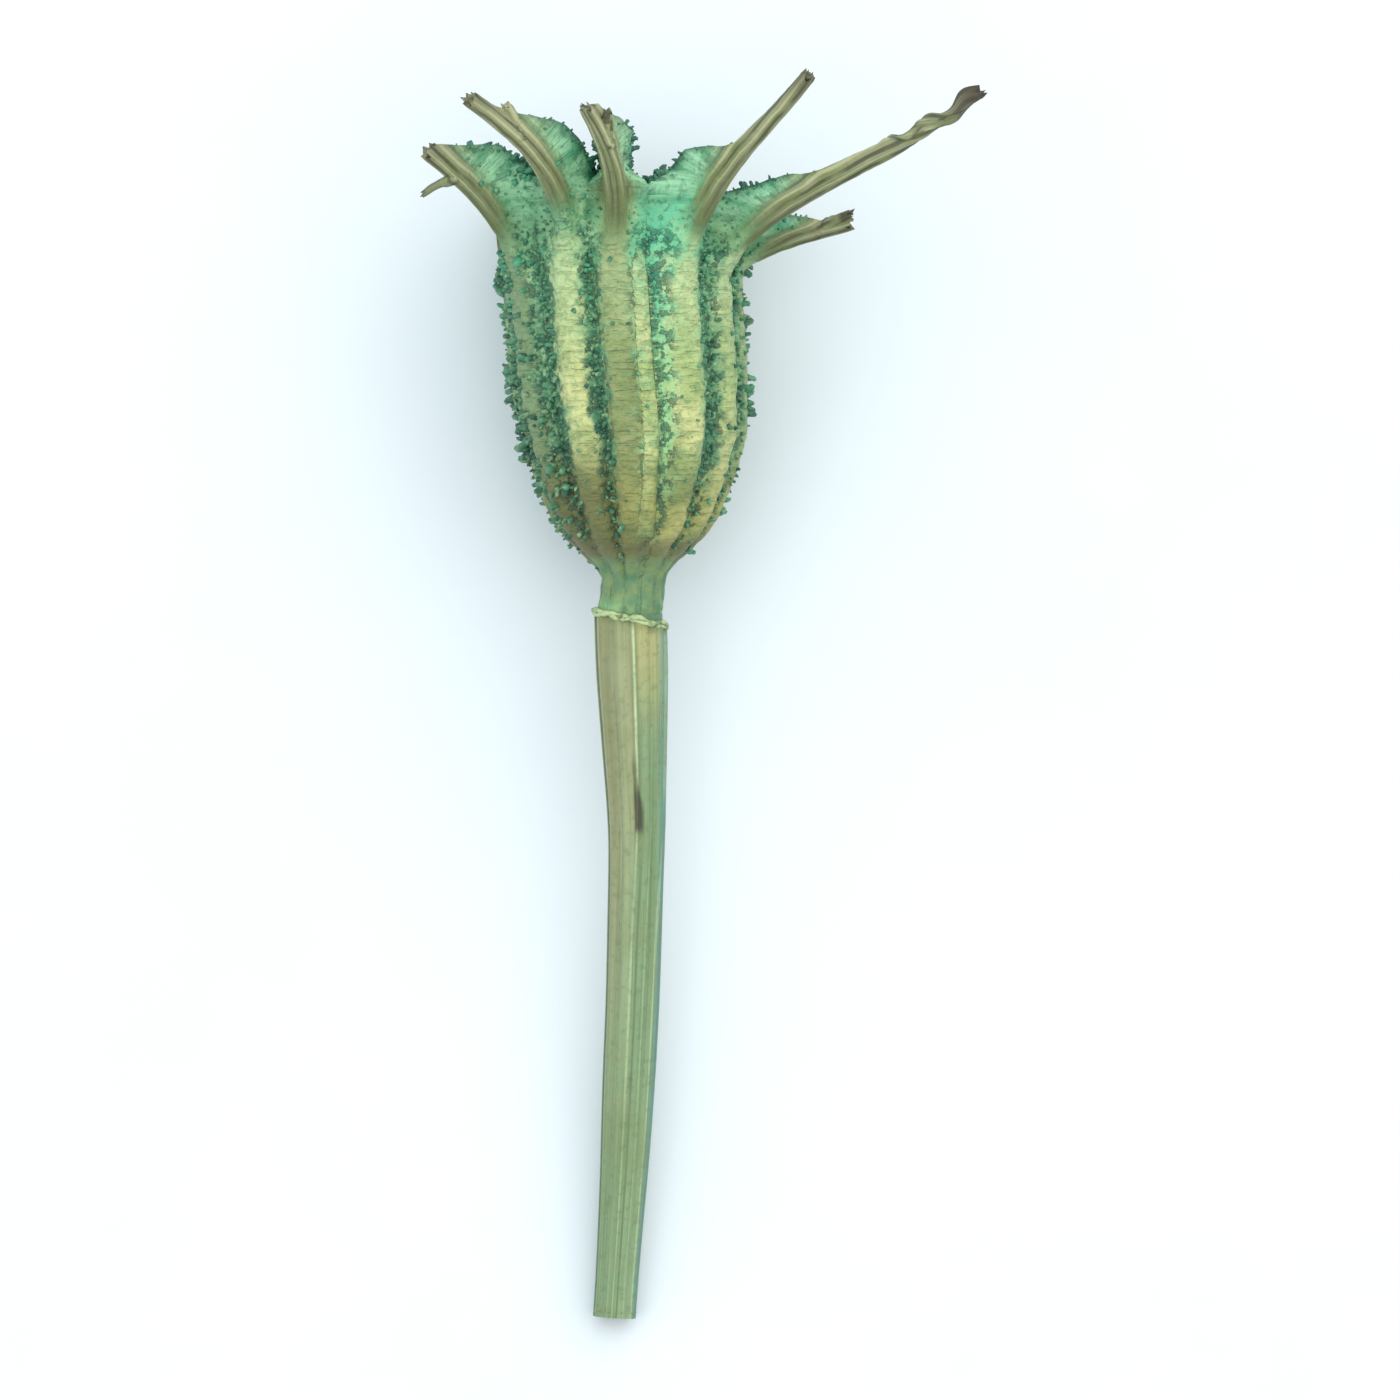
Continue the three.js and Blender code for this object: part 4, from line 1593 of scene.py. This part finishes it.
@dataclass(frozen=True)
class StemSkin(Finish):
    """The stem: khaki on one side of a bright line and pale green on the other, with fine lines, a stain,
    painted shade along one edge and a painted shadow just under the scar.

    Each of the lines has its place across the stem, its width, its tint and its strengths above and below.
    """

    middle: float = -pi / 2
    lines: tuple[tuple[float, float, Tint, float, float], ...] = (
        (-0.08, 0.06, Tint.STEM_PALE, 0.9, 0.4),
        (-0.3, 0.06, Tint.STEM_DARK, 0.0, 0.65),
        (-0.6, 0.05, Tint.STEM_PALE, 0.25, 0.25),
        (0.55, 0.05, Tint.STEM_DARK, 0.15, 0.25),
        (0.97, 0.1, Tint.STEM_PALE, 0.2, 0.5),
        (-0.99, 0.05, Tint.STEM_PALE, 0.5, 0.5),
    )

    def threads(self, graph: Surface, turn: Signal, count: float, run: float) -> Signal:
        """Return a noise drawn out along the stem.

        Args:
            graph: The material's graph.
            turn: The angle round the stem.
            count: How fine the noise is round the stem.
            run: How fine it is along the stem.

        Returns:
            The noise.
        """
        side, front = graph.math("SINE", turn) * count, graph.math("COSINE", turn) * count
        inputs = {0: side, 1: front, 2: graph.attribute("depth") * run}
        vector = graph.node("ShaderNodeCombineXYZ", inputs).outputs[0]
        thread = graph.node("ShaderNodeTexNoise", {"Vector": vector, "Scale": 1.0})
        return Signal(graph, thread.outputs["Fac"])

    def stain(self, graph: Surface, aside: Signal, front: Signal, fine: Signal) -> Signal:
        """Return the mask of the long dark stain down the stem's front and of the small spots.

        Args:
            graph: The material's graph.
            aside: The place across the stem, -1 to 1.
            front: How much the surface faces the camera.
            fine: The noise of the fine threads.

        Returns:
            The mask.
        """
        depth = graph.attribute("depth")
        off = abs(aside - 0.02 + graph.fade(depth, 7.0, 9.5) * 0.12)
        girth = graph.fade(depth, 7.6, 8.9) * 0.1 + 0.1
        streak = graph.fade(off / girth + fine * 0.9, 1.5, 0.9) * graph.fade(depth, 6.0, 7.3)
        streak = streak * graph.fade(depth, 10.5, 9.8) * graph.fade(front, 0.5, 0.8)
        deeper = graph.fade(depth, 7.6, 8.6) * 0.35 + 0.55
        return graph.math("MAXIMUM", streak * deeper, graph.blotch(240.0, 0.64, 0.74) * 0.45)

    def make(self) -> bpy.types.Material:
        """Build the material."""
        graph = self.start(0.5, 0.1)
        share, depth, pith = graph.attributes("turn", "depth", "pith")
        turn = share * (2 * pi)
        bands, fine = self.threads(graph, turn, 1.9, 0.03), self.threads(graph, turn, 9.0, 0.12)
        swing = turn - self.middle
        aside, front = graph.math("SINE", swing), graph.math("COSINE", swing)
        lower, drift = graph.fade(depth, 7.0, 14.0), graph.fade(depth, 6.0, 18.0) * 0.2
        khaki = graph.mix(graph.fade(depth, 8.0, 30.0), Tint.STEM_KHAKI, Tint.STEM_GREEN)
        green = graph.mix(graph.fade(depth, 1.0, 7.0), Tint.STEM_STRAW, Tint.STEM_GREEN)
        sharp, soft = graph.fade(aside, -0.2, 0.0), graph.fade(aside, -0.25, 0.8)
        colour = graph.coats(
            graph.mix(sharp + lower * (soft - sharp), green, khaki),
            (graph.fade(bands, 0.4, 0.62) * 0.2, Tint.STEM_PALE),
            # Painted shade: the stem's edge on its green side is darkened to teal.
            (graph.fade(aside, -0.72, -0.95), Tint.STEM_TEAL),
        )
        for place, width, tint, above, below in self.lines:
            off = abs(aside - drift - place)
            line = graph.fade(off, width, width * 0.3) * graph.fade(front, -0.3, 0.1)
            colour = graph.mix(line * (lower * (below - above) + above), colour, tint)
        under = depth + aside * SCAR_SLANT
        inside = graph.mix(graph.blotch(4200.0, 0.4, 0.62), Tint.PITH, Tint.STEM_KHAKI)
        colour = graph.coats(
            colour,
            (graph.fade(fine, 0.5, 0.66) * 0.28, Tint.STEM_DARK),
            (graph.blotch(900.0, 0.5, 0.75) * 0.35, Tint.STEM_KHAKI),
            (graph.blotch(3000.0, 0.52, 0.66) * 0.32, Tint.STEM_DARK),
            (graph.blotch(420.0, 0.42, 0.66) * 0.3, Tint.OLIVE),
            (self.stain(graph, aside, front, fine), Tint.BLEMISH),
            # Painted shadow under the scar's strands: olive just below the scar.
            (graph.fade(under, 0.75, 0.3) * 0.55, Tint.OLIVE),
            (graph.fade(under, 0.2, 0.1), Tint.NECK_TEAL),
            (graph.fade(pith, 0.2, 0.45), Tint.RUST),
            (graph.fade(pith, 0.6, 0.95), inside),
        )
        return graph.finish(colour, graph.grain(2200.0, 6000.0) * 0.3 + fine * 2.0, 0.05)


@dataclass(frozen=True)
class ScarSkin(Finish):
    """The scar's rim: pale, dry and torn."""

    def make(self) -> bpy.types.Material:
        """Build the material."""
        graph = self.start(0.6)
        patch = graph.blotch(1200.0, 0.45, 0.65)
        colour = graph.mix(patch, Tint.SCAR, Tint.SCAR_DARK)
        return graph.finish(colour, graph.grain(4000.0, 9000.0), 0.03)


@dataclass(frozen=True)
class FloorSkin(Finish):
    """The floor's pale matt paper."""

    def make(self) -> bpy.types.Material:
        """Build the material."""
        graph = self.start(0.8)
        cloud = graph.blotch(30.0, 0.3, 0.7)
        colour = graph.mix(cloud, Tint.FLOOR, Tint.FLOOR_PALE)
        return graph.finish(colour)


# The studio


@dataclass
class Studio:
    """The plain pale floor, soft light and the camera."""

    groups: Groups
    lie: Lie = field(default_factory=Lie)
    lens: float = 400.0
    frame_width: float = 66.0
    floor_half: float = 0.6
    aim: tuple[float, float, float] = (3.3, -3.9, 0.0)

    def floor(self) -> None:
        """Lay the floor."""
        half = self.floor_half
        points = np.array([(-half, -half, 0), (half, -half, 0), (half, half, 0), (-half, half, 0)])
        floor = mesh_object("floor", points, [(0, 1, 2, 3)])
        floor.data.materials.append(FloorSkin("floor", self.groups).make())

    def light(self, name: str, at: tuple, size: float, power: float, tint: tuple) -> None:
        """Place a soft area light that points at the pod.

        Args:
            name: The light's name.
            at: Its place in metres.
            size: Its width in metres.
            power: Its power in watts.
            tint: Its colour.
        """
        data = bpy.data.lights.new(name, "AREA")
        data.size = size
        data.energy = power
        data.color = tint
        lamp = bpy.data.objects.new(name, data)
        lamp.location = at
        lamp.rotation_euler = (Vector((0, 0, 0)) - Vector(at)).to_track_quat("-Z", "Y").to_euler()
        bpy.context.scene.collection.objects.link(lamp)

    def camera(self) -> None:
        """Place the camera straight above the pod's axis, as the photograph looks at it from the side."""
        matrix = self.lie.matrix()
        target = matrix @ Vector(self.aim)
        turn = Matrix.Rotation(self.lie.tilt, 4, "X")
        data = bpy.data.cameras.new("camera")
        data.lens = self.lens
        data.sensor_width = 36.0
        data.clip_start = 0.01
        distance = self.frame_width * MM * self.lens / data.sensor_width
        view = bpy.data.objects.new("camera", data)
        view.matrix_world = Matrix.Translation(target) @ turn @ Matrix.Translation((0, 0, distance))
        bpy.context.scene.collection.objects.link(view)
        bpy.context.scene.camera = view

    def build(self) -> None:
        """Build the studio."""
        self.floor()
        self.light("key", (0.13, 0.1, 0.34), 0.7, 2.2, (1.0, 0.98, 0.94))
        self.light("fill", (-0.3, -0.05, 0.25), 0.5, 0.8, (0.92, 0.97, 1.0))
        world = bpy.data.worlds.new("world")
        world.use_nodes = True
        world.node_tree.nodes["Background"].inputs[0].default_value = srgb(236, 245, 252)
        world.node_tree.nodes["Background"].inputs[1].default_value = 0.6
        bpy.context.scene.world = world
        bpy.context.scene.view_settings.view_transform = "Standard"
        self.camera()


def rest_on_floor(piece: bpy.types.Object) -> None:
    """Press the few points that reach below the floor flat against it."""
    for vertex in piece.data.vertices:
        vertex.co.z = max(vertex.co.z, 0.0)


def main() -> None:
    """Build the pod and the studio."""
    logging.basicConfig(level=logging.INFO)
    groups = Groups(mottle_group(), grain_group())
    Studio(groups).build()
    capsule = Capsule().build()
    capsule.data.materials.clear()
    capsule.data.materials.append(PodSkin("pod_skin", groups).make())
    warts = Warts().build(capsule, WartSkin("wart_skin", groups).make())
    stem = Stem().build(StemSkin("stem_skin", groups).make())
    scar = Stem().scar(ScarSkin("scar_skin", groups).make())
    for piece in (capsule, warts, stem, scar):
        rest_on_floor(piece)
    for piece, slot in ((capsule, "capsule"), (warts, "capsule"), (stem, "stem"), (scar, "stem")):
        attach(piece, "root")
        LOG.info("%s: %d faces", piece.name, len(piece.data.polygons))
    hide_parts("capsule")
    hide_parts("stem")


if __name__ == "__main__":
    main()
